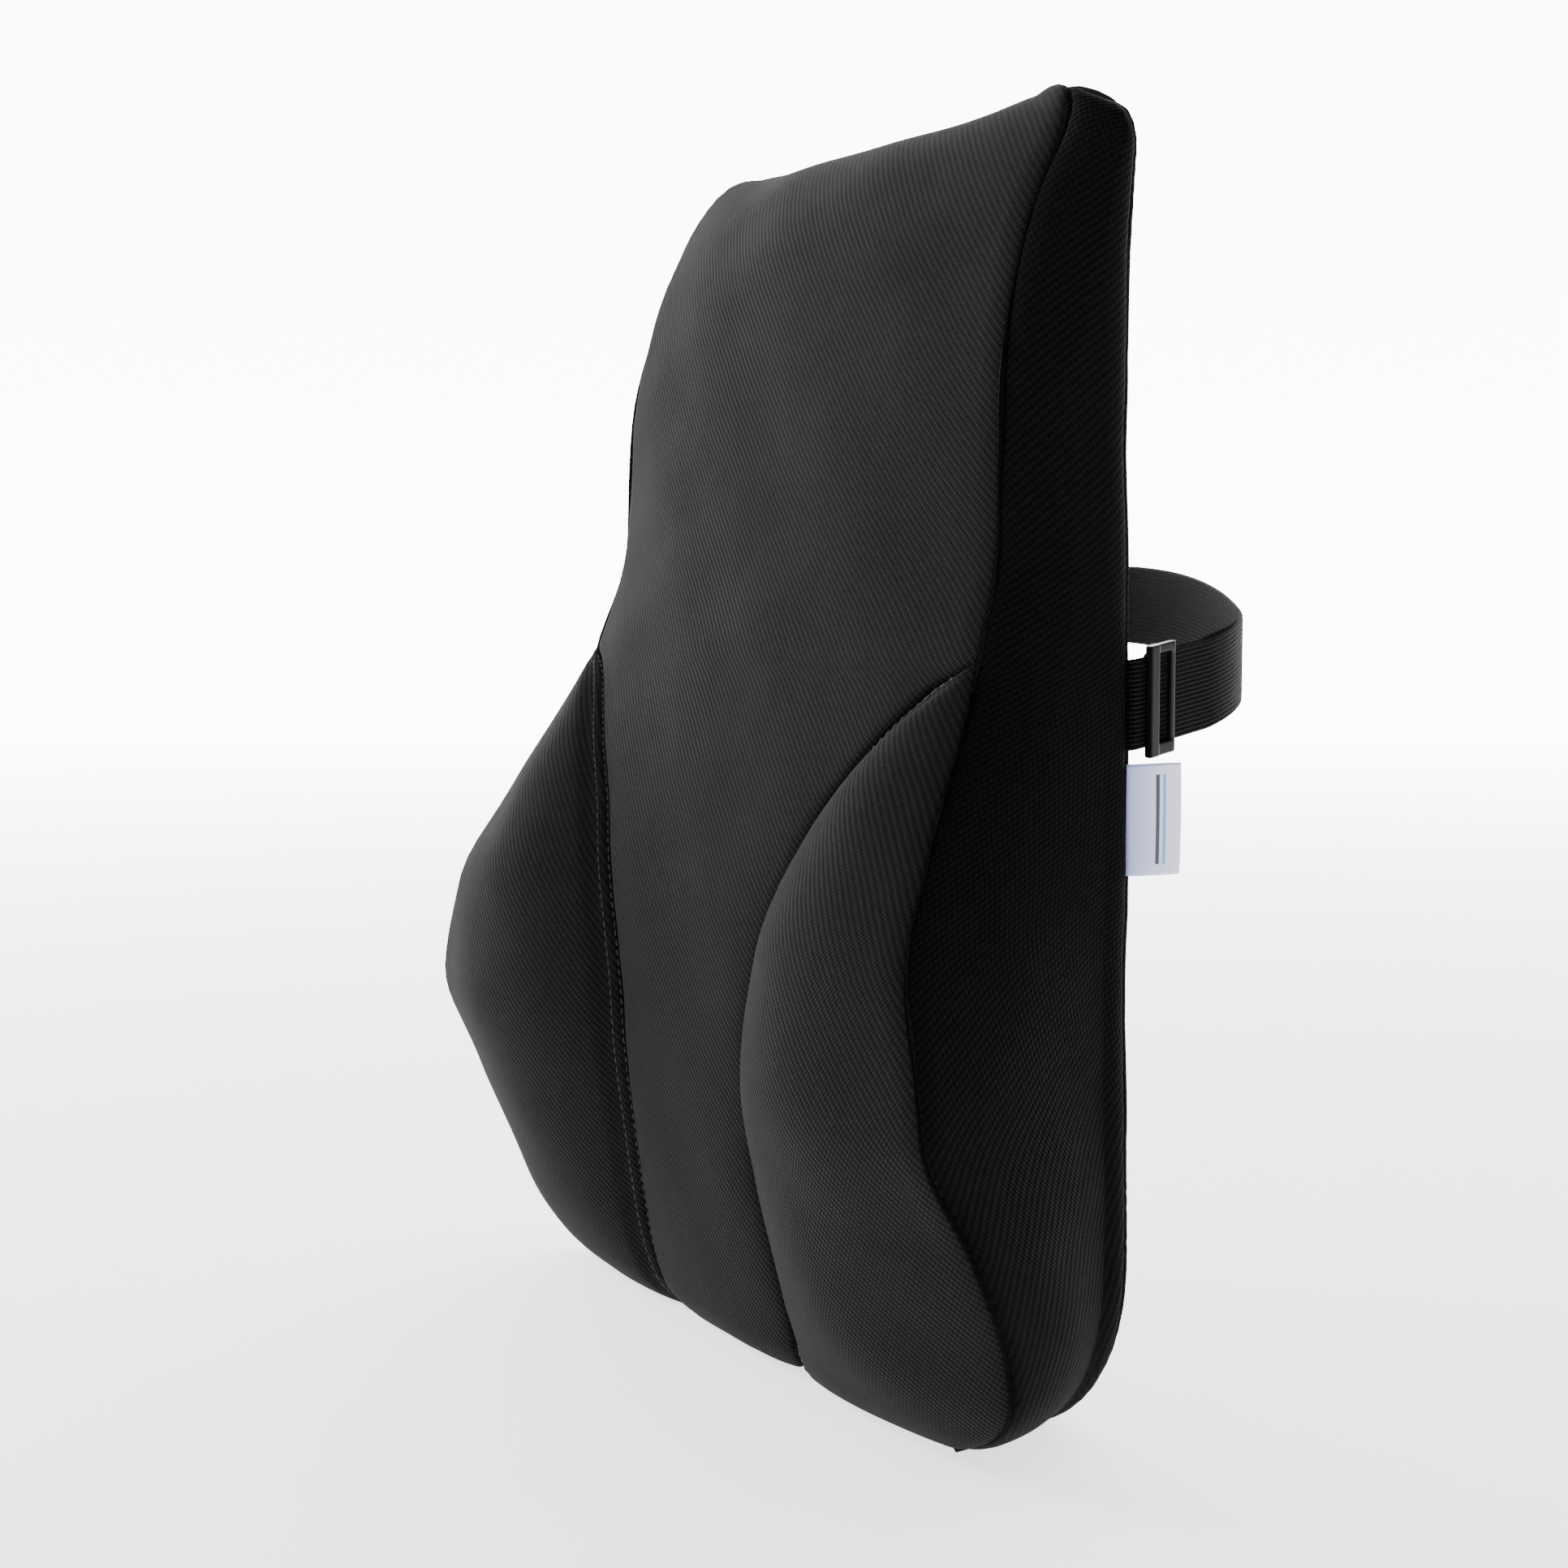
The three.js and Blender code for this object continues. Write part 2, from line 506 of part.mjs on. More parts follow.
// The slide's side bars lie outside the strap and its centre bar between the two layers.
function strapSlide() {
  const strapClear = STRAP.thick / 2 + SLIDE.clear;
  const half = SLIDE.height / 2;
  const face = new THREE.Shape();
  const r = SLIDE.corner;
  face.moveTo(r, -half).lineTo(SLIDE.length - r, -half);
  face.absarc(SLIDE.length - r, r - half, r, -Math.PI / 2, 0);
  face.absarc(SLIDE.length - r, half - r, r, 0, Math.PI / 2);
  face.absarc(r, half - r, r, Math.PI / 2, Math.PI);
  face.absarc(r, r - half, r, Math.PI, 1.5 * Math.PI);
  const slot = new THREE.Path();
  slot.moveTo(SLIDE.bar, SLIDE.end - half).lineTo(SLIDE.bar, half - SLIDE.end);
  slot.lineTo(SLIDE.length - SLIDE.bar, half - SLIDE.end);
  slot.lineTo(SLIDE.length - SLIDE.bar, SLIDE.end - half).closePath();
  face.holes.push(slot);
  const ring = new THREE.ExtrudeGeometry(face, {
    depth: SLIDE.thick, bevelEnabled: true, bevelSize: SLIDE.bevel, bevelThickness: SLIDE.bevel,
    bevelSegments: 1, bevelOffset: -SLIDE.bevel, curveSegments: 3,
  });
  ring.translate(0, 0, strapClear + SLIDE.bevel);
  const [barIn, barOut] = [-INNER.offset + strapClear, -strapClear];
  const middle = SLIDE.length / 2;
  const { web, centre } = SLIDE;
  const ends = [1, -1].map((up) => {
    const [low, high] = [up * (half - SLIDE.end), up * (half - web.inset)].sort((a, b) => a - b);
    return block(middle - web.half, middle + web.half, low, high, barIn, strapClear + web.bite);
  });
  const [barLow, barHigh] = [centre.inset - half, half - centre.inset];
  const bar = block(middle - centre.half, middle + centre.half, barLow, barHigh, barIn, barOut);
  return join([ring, ...ends, bar]);
}
// Local x runs along the strap, local y up and local z out of it.
const slideMesh = add('strap_slide', strapSlide(), moulded);
const along = new THREE.Vector3(Math.cos(leanAngle), Math.sin(leanAngle), 0);
const up = new THREE.Vector3(0, 0, 1);
const outward = along.clone().cross(up);
slideMesh.quaternion.setFromRotationMatrix(new THREE.Matrix4().makeBasis(along, up, outward));
slideMesh.position
  .set(STRAP.x, BACK_Y + STRAP.out, STRAP.z + lift(SLIDE.from + SLIDE.length / 2))
  .addScaledVector(along, SLIDE.from);

// ---------------------------------------------------------------- side label
// A folded satin tag sewn into the rear seam below the strap, lying back along +Y.
const labelY = BACK_Y - LABEL.depth;
add(
  'side_label',
  block(LABEL.x, LABEL.x + LABEL.thick, labelY, labelY + LABEL.reach, LABEL.low, LABEL.high),
  satin,
);

export default part;
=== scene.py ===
"""Looks of the lumbar support cushion: sewn knit cover, foam, elastic strap, slide, label and zip."""
import json
import math

import bmesh
import bpy
import numpy as np
from mathutils import Matrix, Vector


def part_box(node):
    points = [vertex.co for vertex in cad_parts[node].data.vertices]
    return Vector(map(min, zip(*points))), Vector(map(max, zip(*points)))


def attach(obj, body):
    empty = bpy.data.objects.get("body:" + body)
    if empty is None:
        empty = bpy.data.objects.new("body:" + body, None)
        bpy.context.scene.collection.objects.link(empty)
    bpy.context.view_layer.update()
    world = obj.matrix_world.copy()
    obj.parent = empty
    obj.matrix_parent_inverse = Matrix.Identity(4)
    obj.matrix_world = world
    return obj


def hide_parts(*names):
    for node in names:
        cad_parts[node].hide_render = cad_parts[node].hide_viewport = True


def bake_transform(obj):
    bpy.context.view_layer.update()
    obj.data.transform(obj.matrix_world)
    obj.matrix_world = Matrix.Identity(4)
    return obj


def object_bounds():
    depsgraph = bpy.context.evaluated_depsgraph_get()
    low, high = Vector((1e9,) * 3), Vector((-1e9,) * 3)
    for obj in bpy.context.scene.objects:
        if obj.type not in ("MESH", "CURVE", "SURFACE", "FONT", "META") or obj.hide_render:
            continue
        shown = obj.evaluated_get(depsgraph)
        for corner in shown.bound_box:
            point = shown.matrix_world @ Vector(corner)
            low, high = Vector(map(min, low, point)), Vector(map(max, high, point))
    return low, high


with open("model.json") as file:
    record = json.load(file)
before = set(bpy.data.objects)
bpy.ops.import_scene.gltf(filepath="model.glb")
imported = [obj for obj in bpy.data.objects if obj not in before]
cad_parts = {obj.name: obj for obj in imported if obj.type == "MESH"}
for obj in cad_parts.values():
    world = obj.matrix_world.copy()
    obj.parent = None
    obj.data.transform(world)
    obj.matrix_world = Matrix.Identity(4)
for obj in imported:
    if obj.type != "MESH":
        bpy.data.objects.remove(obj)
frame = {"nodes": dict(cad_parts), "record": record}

cad_low, cad_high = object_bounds()

MM = 0.001


def mount_position(name):
    return next(m["pos_m"] for m in frame["record"]["mounts"] if m["name"] == name)


# ---------- driving sizes, millimetres
HEIGHT = cad_high.z / MM
BACK_Y = mount_position("back_face")[1] / MM

# The CAD cover's stations. Only the wing's tip differs: here it closes to a point.
STATION_Z = [0, 40, 80, 120, 160, 200, 250, 262, 300, 350, 400, 450]
STATIONS = {
    "seam_x": [182, 196, 203, 200, 187, 170, 152, 149, 144, 142, 138, 136],
    "seam_depth": [68, 77, 95, 112, 110, 92, 65, 61, 51, 49, 38, 22],
    "mid_depth": [78, 88, 94, 97, 96, 90, 78, 75, 67, 60, 52, 42],
    "channel_x": [58, 56, 52, 53, 63, 83, 129, 148, 118, 96, 88, 78],
    "crown": [2, 15, 19, 21, 18, 12, 3, 0, 0, 0, 0, 0],
}
WING_TOP = 262
VALLEY = 3.5  # half a millimetre deeper than the CAD's, under the stitched seam
VALLEY_FADE = 60
FRONT_CROWN = 2.2
WING_PEAK = 0.9
BACK_HALF = 162
BACK_TAPER = 6
BACK_CORNER = 18
CORNER_SHARE = 0.45
GUSSET_BULGE = 4
GUSSET_FULL = 60
RIDGE = {"front": 9, "seam": 6.8, "back": 5}
ROLL_SHARE = 0.89
TOP_FRONT_ROLL = 60
TOP_BACK_ROLL = 15
TOP_SIDE = (28, 26)
TOP_SEAM_SIDE = (17, 26)  # the seam itself pulls in less, so it meets the outline near the corner
BASE_FRONT = (12, 14)
BASE_SEAM_SHARE = 0.3
BASE_SIDE = (58, 30)
BASE_BACK = (17, 50)
BASE_BACK_SIDE = (34, 62)
TOP_SAG = (4, 50)
TOP_SEAM = 445
END_ZONE = 50
ZIP_Z = 70
ZIP_BAND = 6
ZIP_HALF_X = 134.9

STRAP = {"x": 157, "out": -3.5, "z": 245.6, "height": 30, "thick": 1.6, "lean": 15, "straight": 36,
         "climb": 0.15, "rise": 31, "radius": 55, "turn": 47}
INNER = {"offset": 4, "start": 8, "end": 66, "closes_from": 40, "closes_over": 20, "gap": 0.15}
SLIDE = {"start": 2.5, "length": 13, "height": 36.8, "broad": 4.1, "thin": 2.2, "plate": 3.0}
# out of the rear seam to the strap's start
LEAD_IN = {"length": 5, "from": (-4.4, -2.4), "by": (0.55, -2.1)}
RIBS = 20
RIB_HIGH = 0.36
WEBBING_EDGE = {"plain": 0.25, "thins_over": 0.9, "thinnest": 0.45}

COVER = 2.2
THINNEST_COVER = 0.45
LINER_INSET = 2.6
LINER = 0.8
CORE_INSET = 3.8
CHANNEL_INSET_SHARE = 0.3
CAP_RINGS = 5
TOP_DOME = 0.6
EAR = {"up": 2.4, "in": 17, "wide": 8, "over": 30, "left_share": 0.2}
CORNER_DROP = {"down": 5.0, "from": 0.91, "over": 26}  # the gusset falls away beyond the seam

# Column parameter: 0 front centre, 1 wing seam, 2 side seam, 3 to 4 rear corner, 5 back centre.
REAR_SEAM = 3.5
BACK_CENTRE = 5


# ---------- the cushion's surface
def station_value(key, z):
    """Cubic through the stations, with slopes that never overshoot a flat stretch."""
    zs = np.array(STATION_Z, float)
    values = np.array(STATIONS[key], float)
    slopes = np.diff(values) / np.diff(zs)
    tangents = np.concatenate([slopes[:1], np.zeros(len(zs) - 2), slopes[-1:]])
    before, after = slopes[:-1], slopes[1:]
    steady = before * after > 0
    tangents[1:-1][steady] = (2 * before * after)[steady] / (before + after)[steady]
    i = np.clip(np.searchsorted(zs, z, side="left") - 1, 0, len(zs) - 2)
    step = zs[i + 1] - zs[i]
    t = (z - zs[i]) / step
    rise = values[i + 1] - values[i]
    m0, m1 = tangents[i] * step, tangents[i + 1] * step
    return values[i] + t * m0 + t**2 * (3 * rise - 2 * m0 - m1) + t**3 * (m0 + m1 - 2 * rise)


def roll(distance, over):
    """0 where the side is straight, growing to 1 at the very end of a quarter ellipse."""
    t = np.clip(1 - distance / over, 0, 1)
    return 1 - np.sqrt(1 - t * t)


def section_at(z, inset):
    """Sizes of the horizontal section at heights z, for a surface that far under the skin."""
    top = HEIGHT - z
    keep = 1 - ROLL_SHARE * roll(top, TOP_FRONT_ROLL)
    keep_back = 1 - ROLL_SHARE * roll(top, TOP_BACK_ROLL)
    front = BASE_FRONT[0] * roll(z, BASE_FRONT[1])
    side = BASE_SIDE[0] * roll(z, BASE_SIDE[1]) + TOP_SEAM_SIDE[0] * roll(top, TOP_SEAM_SIDE[1])
    back_side = BASE_BACK_SIDE[0] * roll(z, BASE_BACK_SIDE[1]) + TOP_SIDE[0] * roll(top, TOP_SIDE[1])

    def forward(ridge, depth):
        return ridge + (depth - inset - ridge) * keep

    seam_x = station_value("seam_x", z)
    fade = np.clip((WING_TOP - z) / VALLEY_FADE, 0, 1)
    return {
        "seam_x": seam_x - side - inset,
        "seam_depth": forward(RIDGE["seam"], station_value("seam_depth", z) - front * BASE_SEAM_SHARE),
        "mid_depth": forward(RIDGE["front"], station_value("mid_depth", z) - front),
        "channel_x": station_value("channel_x", z) * (1 - side / seam_x) - inset * CHANNEL_INSET_SHARE,
        "crown": station_value("crown", z) * keep,
        "back_x": BACK_HALF - BACK_TAPER * z / HEIGHT - back_side - inset,
        "back_in": RIDGE["back"] - (RIDGE["back"] - inset) * keep_back + BASE_BACK[0] * roll(z, BASE_BACK[1]),
        "valley": VALLEY * fade,
    }


def half_outline(z, c, inset):
    """x and depth of the right half's section, at heights z (a column) and parameters c (a row)."""
    s = section_at(z, inset)

    def crowned(x):
        share = 1 - np.abs(x / s["seam_x"]) ** FRONT_CROWN
        return s["seam_depth"] + (s["mid_depth"] - s["seam_depth"]) * share

    t = np.clip(c, 0, 1)
    centre_x = t * s["channel_x"]
    centre = crowned(centre_x) - s["valley"] * t**4

    t = np.clip(c - 1, 0, 1)
    wing_x = s["channel_x"] + (s["seam_x"] - s["channel_x"]) * t
    swell = s["crown"] * np.sin(np.pi * t**WING_PEAK) - s["valley"] * (1 - t) ** 4
    wing = crowned(np.minimum(wing_x, s["seam_x"])) + swell

    thickness = s["seam_depth"] - s["back_in"]
    radius = np.minimum(BACK_CORNER, thickness * CORNER_SHARE)
    t = np.clip(c - 2, 0, 1)
    bulge = GUSSET_BULGE * np.sin(np.pi * t) * np.minimum(1, thickness / GUSSET_FULL)
    gusset_x = s["seam_x"] + (s["back_x"] - s["seam_x"]) * t + bulge
    gusset = s["seam_depth"] + (s["back_in"] + radius - s["seam_depth"]) * t

    turn = np.pi / 2 * np.clip(c - 3, 0, 1)
    corner_x = s["back_x"] - radius * (1 - np.cos(turn))
    corner = s["back_in"] + radius * (1 - np.sin(turn))

    back_x = (s["back_x"] - radius) * (1 - np.clip(c - 4, 0, 1))
    back = s["back_in"] + 0 * back_x

    spans = [np.broadcast_to(c <= end, wing_x.shape) for end in (1, 2, 3, 4)]
    x = np.select(spans, [centre_x, wing_x, gusset_x, corner_x], back_x)
    return x, np.select(spans, [centre, wing, gusset, corner], back)


def surface_rows(z, c, inset):
    """Points of the closed surface, shape (rows, around, 3); c holds the right half's columns."""
    z = np.asarray(z, float)[:, None]
    c = np.asarray(c, float)[None, :]
    x, depth = half_outline(z, c, inset)
    low_squeeze = inset * np.clip(1 - z / END_ZONE, 0, None)
    top_squeeze = inset * np.clip(1 - (HEIGHT - z) / END_ZONE, 0, None)
    sag = TOP_SAG[0] * np.clip(1 - (HEIGHT - z) / TOP_SAG[1], 0, None) ** 2
    widest = x.max(axis=1, keepdims=True)
    height = z + low_squeeze - top_squeeze - sag * (1 - (x / widest) ** 2)
    near_top = np.clip(1 - (HEIGHT - z) / EAR["over"], 0, 1)
    ear = np.exp(-(((widest - x) - EAR["in"]) / EAR["wide"]) ** 2)
    ear_up = EAR["up"] * near_top**2 * ear
    beyond = np.clip((x / widest - CORNER_DROP["from"]) / (1 - CORNER_DROP["from"]), 0, 1)
    at_corner = np.clip(1 - (HEIGHT - z) / CORNER_DROP["over"], 0, 1)
    height = height - CORNER_DROP["down"] * beyond**1.5 * at_corner
    half = np.stack([x, BACK_Y - depth, height + ear_up], axis=-1)
    mirrored = half[:, -2:0:-1] * np.array([-1, 1, 1])
    mirrored[..., 2] -= (1 - EAR["left_share"]) * ear_up[:, -2:0:-1]
    return np.concatenate([half, mirrored], axis=1)


def mates(around):
    """For each column, the column across the thickness from it, which a cap joins it to."""
    half = around // 2
    k = np.arange(around)
    right = np.where(k <= half, k, around - k)
    across = half - right
    return np.where((k <= half) | (across == 0), across, around - across) % around


def cap_rings(outline, dome):
    """Rings that close one end of the surface, from its last row in to the ridge line."""
    mate = mates(len(outline))
    middle = (outline + outline[mate]) / 2
    rings = []
    for k in range(1, CAP_RINGS + 1):
        share = math.cos(math.pi / 2 * k / CAP_RINGS) if dome else 1 - k / CAP_RINGS
        ring = middle + (outline - middle) * share
        ring[:, 2] += dome * math.sin(math.pi / 2 * k / CAP_RINGS)
        rings.append(ring)
    return np.array(rings)


def closed_points(z, c, inset):
    """Base cap rings, then the rows, then the top cap rings, shape (layers, around, 3)."""
    rows = surface_rows(z, c, inset)
    base = cap_rings(rows[0], 0)[::-1]
    top = cap_rings(rows[-1], TOP_DOME)
    return np.concatenate([base, rows, top], axis=0)


def panel_names(z, c):
    """The cover panel that owns each patch of the closed surface, as [layer][column]."""
    half = len(c) - 1
    z_mid = [(a + b) / 2 for a, b in zip(z[:-1], z[1:])]
    c_mid = [(a + b) / 2 for a, b in zip(c[:-1], c[1:])]
    zip_x, _ = half_outline(np.array([[float(ZIP_Z)]]), np.array([c_mid]), 0)

    def owner(height, k):
        right = k < half
        column = k if right else 2 * half - 1 - k
        side = "right" if right else "left"
        if 2 < c_mid[column] < REAR_SEAM:
            return f"cover_side_{side}"
        if height > TOP_SEAM or c_mid[column] < 1:
            return "cover_front_centre"
        if c_mid[column] < 2:
            return "cover_front_centre" if height > WING_TOP else f"cover_wing_{side}"
        if abs(height - ZIP_Z) < ZIP_BAND and abs(zip_x[0][column]) < ZIP_HALF_X and c_mid[column] > 4:
            return "zip_slot"
        return "cover_back_upper" if height > ZIP_Z else "cover_back_lower"

    around = range(2 * half)
    base = [["cover_base"] * (2 * half)] * CAP_RINGS
    top = [[owner(HEIGHT, k) for k in around]] * CAP_RINGS
    return base + [[owner(height, k) for k in around] for height in z_mid] + top


def clustered(count, ends, tight=0.85):
    """Shares from 0 to 1 that crowd at both ends, at the far end or in the middle."""
    t = np.linspace(0, 1, count + 1)
    if ends == "both":
        return t - tight / (2 * np.pi) * np.sin(2 * np.pi * t)
    if ends == "far":
        return t + tight / np.pi * np.sin(np.pi * t)
    if ends == "middle":
        return t + tight / (2 * np.pi) * np.sin(2 * np.pi * t)
    return t


def columns(counts, crowd):
    """Column parameters of the right half, from the spans' counts of patches."""
    kinds = ["far", "both", "both", "middle", "even"] if crowd else ["even"] * 5
    parts = [i + clustered(n, kind)[:-1] for i, (n, kind) in enumerate(zip(counts, kinds))]
    return np.concatenate(parts + [[BACK_CENTRE]])


def quarter_turn(rows):
    return np.linspace(0, np.pi / 2, rows + 1)


def heights(round_base, base_rows, marks, counts, crowd, round_top, top_rows):
    """Row heights: evenly spread over the rounded ends' angles, clustered between marks."""
    low = round_base * (1 - np.cos(quarter_turn(base_rows)))
    high = HEIGHT - round_top * (1 - np.cos(quarter_turn(top_rows)))[::-1]
    high[np.argmin(np.abs(high - TOP_SEAM))] = TOP_SEAM
    rows = [low]
    for (a, b), n in zip(zip(marks[:-1], marks[1:]), counts):
        rows.append(a + (b - a) * clustered(n, "both" if crowd else "even")[1:])
    rows.append(high[1:])
    return np.concatenate(rows)


ROUND_BASE = 30
ROUND_TOP = 26
SLOT_LOW = ZIP_Z - ZIP_BAND
SLOT_HIGH = ZIP_Z + ZIP_BAND
MARKS = [ROUND_BASE, SLOT_LOW, SLOT_HIGH, WING_TOP, HEIGHT - ROUND_TOP]
FINE_Z = heights(ROUND_BASE, 18, MARKS, [12, 8, 46, 38], True, ROUND_TOP, 22)
FINE_C = columns([32, 44, 34, 16, 26], True)
# the foam core is hidden, so its surface is coarser and evenly spread
CORE_Z = heights(ROUND_BASE, 10, MARKS, [6, 3, 32, 28], False, ROUND_TOP, 12)
CORE_C = columns([14, 22, 16, 6, 30], False)


def add_object(name, data):
    obj = bpy.data.objects.new(name, data)
    bpy.context.scene.collection.objects.link(obj)
    return obj


def mesh_object(name, vertices, faces, weave=None, crease=None, smooth=True):
    """A mesh in metres from points in millimetres. weave gives each vertex's place on the cloth in
    metres; crease gives how deep in a seam it lies, 0 to 1, as its first number."""
    mesh = bpy.data.meshes.new(name)
    mesh.from_pydata((np.asarray(vertices) * MM).tolist(), [], [list(map(int, f)) for f in faces])
    loops = np.zeros(len(mesh.loops), np.int32)
    mesh.loops.foreach_get("vertex_index", loops)
    for layer_name, places in (("weave", weave), ("crease", crease)):
        if places is not None:
            layer = mesh.uv_layers.new(name=layer_name)
            layer.data.foreach_set("uv", np.asarray(places, np.float32)[loops].ravel())
    mesh.polygons.foreach_set("use_smooth", [smooth] * len(mesh.polygons))
    mesh.validate()
    mesh.update()
    return add_object(name, mesh)


def tube_faces(rings, around, base=0, clockwise=False, flip=False):
    """Side quads and the two end caps of a tube, whose rings of points start at vertex number base."""
    faces = []
    for i in range(rings - 1):
        for k in range(around):
            a, b = base + i * around + k, base + i * around + (k + 1) % around
            far_a, far_b = a + around, b + around
            faces.append([a, b, far_b, far_a] if clockwise else [a, far_a, far_b, b])
    first = [base + k for k in range(around)]
    last = [v + (rings - 1) * around for v in first]
    faces += [first[::-1], last] if clockwise else [first, last[::-1]]
    return [face[::-1] for face in faces] if flip else faces


def grid_faces(layers, around):
    """Quads of the closed surface, [layer][column], as vertex numbers; each end's last ring is a ridge."""
    index = np.arange(layers * around).reshape(layers, around)
    mate = mates(around)
    for last in (0, layers - 1):
        index[last] = np.minimum(index[last], index[last][mate])
    right = np.roll(index, -1, axis=1)
    return np.stack([index[:-1], right[:-1], right[1:], index[1:]], axis=-1)


def renumbered(faces):
    """The vertices that these faces use, and the same faces with those numbered from 0."""
    used, local = np.unique(faces, return_inverse=True)
    return used, local.reshape(faces.shape)


def vertex_normals(points, quads):
    """Outward unit normals of the closed surface."""
    flat = points.reshape(-1, 3)
    corners = flat[quads.reshape(-1, 4)]
    cross = np.cross(corners[:, 2] - corners[:, 0], corners[:, 3] - corners[:, 1])
    normals = np.zeros_like(flat)
    for k in range(4):
        np.add.at(normals, quads.reshape(-1, 4)[:, k], cross)
    length = np.linalg.norm(normals, axis=1, keepdims=True)
    return (normals / np.maximum(length, 1e-12)).reshape(points.shape)


# ---------- seams and stitching on the skin
# An edge (deep, reach) rounds every layer into a seam; a crease (deep, reach) cuts the skin alone.
SIDE_EDGE = (3.0, 10.0)
SIDE_CREASE = (1.7, 1.6)
REAR_EDGE = (0.9, 5.0)
REAR_CREASE = (1.3, 1.5)
WING_EDGE = (1.5, 7.0)
WING_CREASE = (1.7, 1.1)
WING_BAND = {"wide": 8.0, "deep": 1.3, "rise": 6.0}
FLAT_CREASE = (1.2, 2.0)
BASE_CREASE = (0.9, 0.8)
ZIP_CREASE = (0.5, 1.5)
TOPSTITCH = (2.0, 6.4)
STITCH_DENT = (0.35, 0.7)
PUCKER = {"high": 0.3, "period": 6.4, "reach": 7.0}
END_FADE = (8, 14)  # the rounded edges run out towards the base and the top
WING_ROOM = 26  # a wing narrower than this has less of a band and fainter stitch dents
WING_FADE = 8
WING_PUCKER_SHARE = 0.8
ZIP_CREASE_FROM = 3.9  # column parameter, just short of the flat back
LEVEL_ROWS = 6  # rows at the base that stay even, so that the cushion stands flat


def smooth_step(t):
    t = np.clip(t, 0, 1)
    return t * t * (3 - 2 * t)


def deep_line(distance, deep, reach):
    return deep * np.exp(-(np.abs(distance) / reach) ** 1.5)


def puckers(along, distance, period):
    phase = 2 * np.pi * along / period + 1.3 * np.sin(along / 17.0) + 0.8 * np.sin(along / 5.3)
    return PUCKER["high"] * 0.5 * (1 + np.sin(phase)) * np.exp(-distance / PUCKER["reach"])


def arc_lengths(line):
    steps = np.linalg.norm(np.diff(line, axis=1), axis=2)
    return np.concatenate([np.zeros((len(line), 1)), np.cumsum(steps, axis=1)], axis=1)


def nearest(values, at):
    return int(np.argmin(np.abs(np.asarray(values) - at)))


def half_columns(around, mirror):
    """The columns of one half, from the front's middle to the back's."""
    right = np.arange(around // 2 + 1)
    return (around - right) % around if mirror else right


def seam_shapes(points, z, c):
    """At each point, how far every layer sinks at the seams, and how far the skin alone is creased."""
    z_column = np.asarray(z)[:, None]
    right_c = np.asarray(c)
    rows = points[CAP_RINGS:CAP_RINGS + len(z)]
    sink, crease = np.zeros(points.shape[:2]), np.zeros(points.shape[:2])
    wing, side, rear = (nearest(c, at) for at in (1, 2, REAR_SEAM))
    fade = smooth_step(z_column / END_FADE[0]) * smooth_step((HEIGHT - z_column) / END_FADE[1])
    for mirror in (False, True):
        order = half_columns(rows.shape[1], mirror)
        line = rows[:, order]
        arc = arc_lengths(line)
        along = arc_lengths(line[:, side][None])[0][:, None]
        low, fine = np.zeros_like(arc), np.zeros_like(arc)
        for index, edge, cut in ((side, SIDE_EDGE, SIDE_CREASE), (rear, REAR_EDGE, REAR_CREASE)):
            distance = np.abs(arc - arc[:, index:index + 1])
            low = np.maximum(low, edge[0] * roll(distance, edge[1]))
            fine = np.maximum(fine, deep_line(distance, *cut) + puckers(along, distance, PUCKER["period"]))
        signed = arc - arc[:, wing:wing + 1]
        roomy = np.clip((arc[:, side:side + 1] - arc[:, wing:wing + 1]) / WING_ROOM, 0, 1)
        present = np.clip((WING_TOP - z_column) / WING_FADE, 0, 1)
        band = WING_BAND["deep"] * (1 - smooth_step((signed - WING_BAND["wide"]) / WING_BAND["rise"]))
        inner_edge = WING_EDGE[0] * roll(-signed, WING_EDGE[1])
        low = np.maximum(low, present * np.where(signed >= 0, roomy * band, inner_edge))
        dents = sum(deep_line(signed - at, *STITCH_DENT) for at in TOPSTITCH) * roomy
        gathers = puckers(along, np.abs(signed), PUCKER["period"] * WING_PUCKER_SHARE)
        wing_fine = deep_line(signed, *WING_CREASE) + dents + gathers
        fine = np.maximum(fine, wing_fine * present)
        over_top = deep_line(z_column - TOP_SEAM, *FLAT_CREASE) * (right_c > REAR_SEAM)[None, :]
        slot_edge = np.minimum(np.abs(z_column - SLOT_LOW), np.abs(z_column - SLOT_HIGH))
        by_zip = deep_line(slot_edge, *ZIP_CREASE) * (right_c > ZIP_CREASE_FROM)[None, :]
        fine = np.maximum.reduce([fine, over_top, deep_line(z_column, *BASE_CREASE) + 0 * fine, by_zip])
        sink[CAP_RINGS:CAP_RINGS + len(z), order] = low * fade
        crease[CAP_RINGS:CAP_RINGS + len(z), order] = np.minimum(fine, COVER - THINNEST_COVER)
    return sink, crease


def undulation(points):
    """Slow unevenness of foam under knit, in millimetres."""
    x, y, z = points[..., 0], points[..., 1], points[..., 2]
    return (0.35 * np.sin(x / 23 + 1.7) * np.sin(z / 31 + 0.4)
            + 0.22 * np.sin(x / 11.3 + z / 14.7) + 0.15 * np.sin(z / 9.1 - x / 17.9 + y / 13.0))


def layer_shift(z, c):
    """How far every layer moves at each point as it sinks at the seams."""
    plain_points = closed_points(z, c, 0)
    outward = vertex_normals(plain_points, grid_faces(*plain_points.shape[:2]))
    sink, _ = seam_shapes(plain_points, z, c)
    return -outward * sink[..., None]


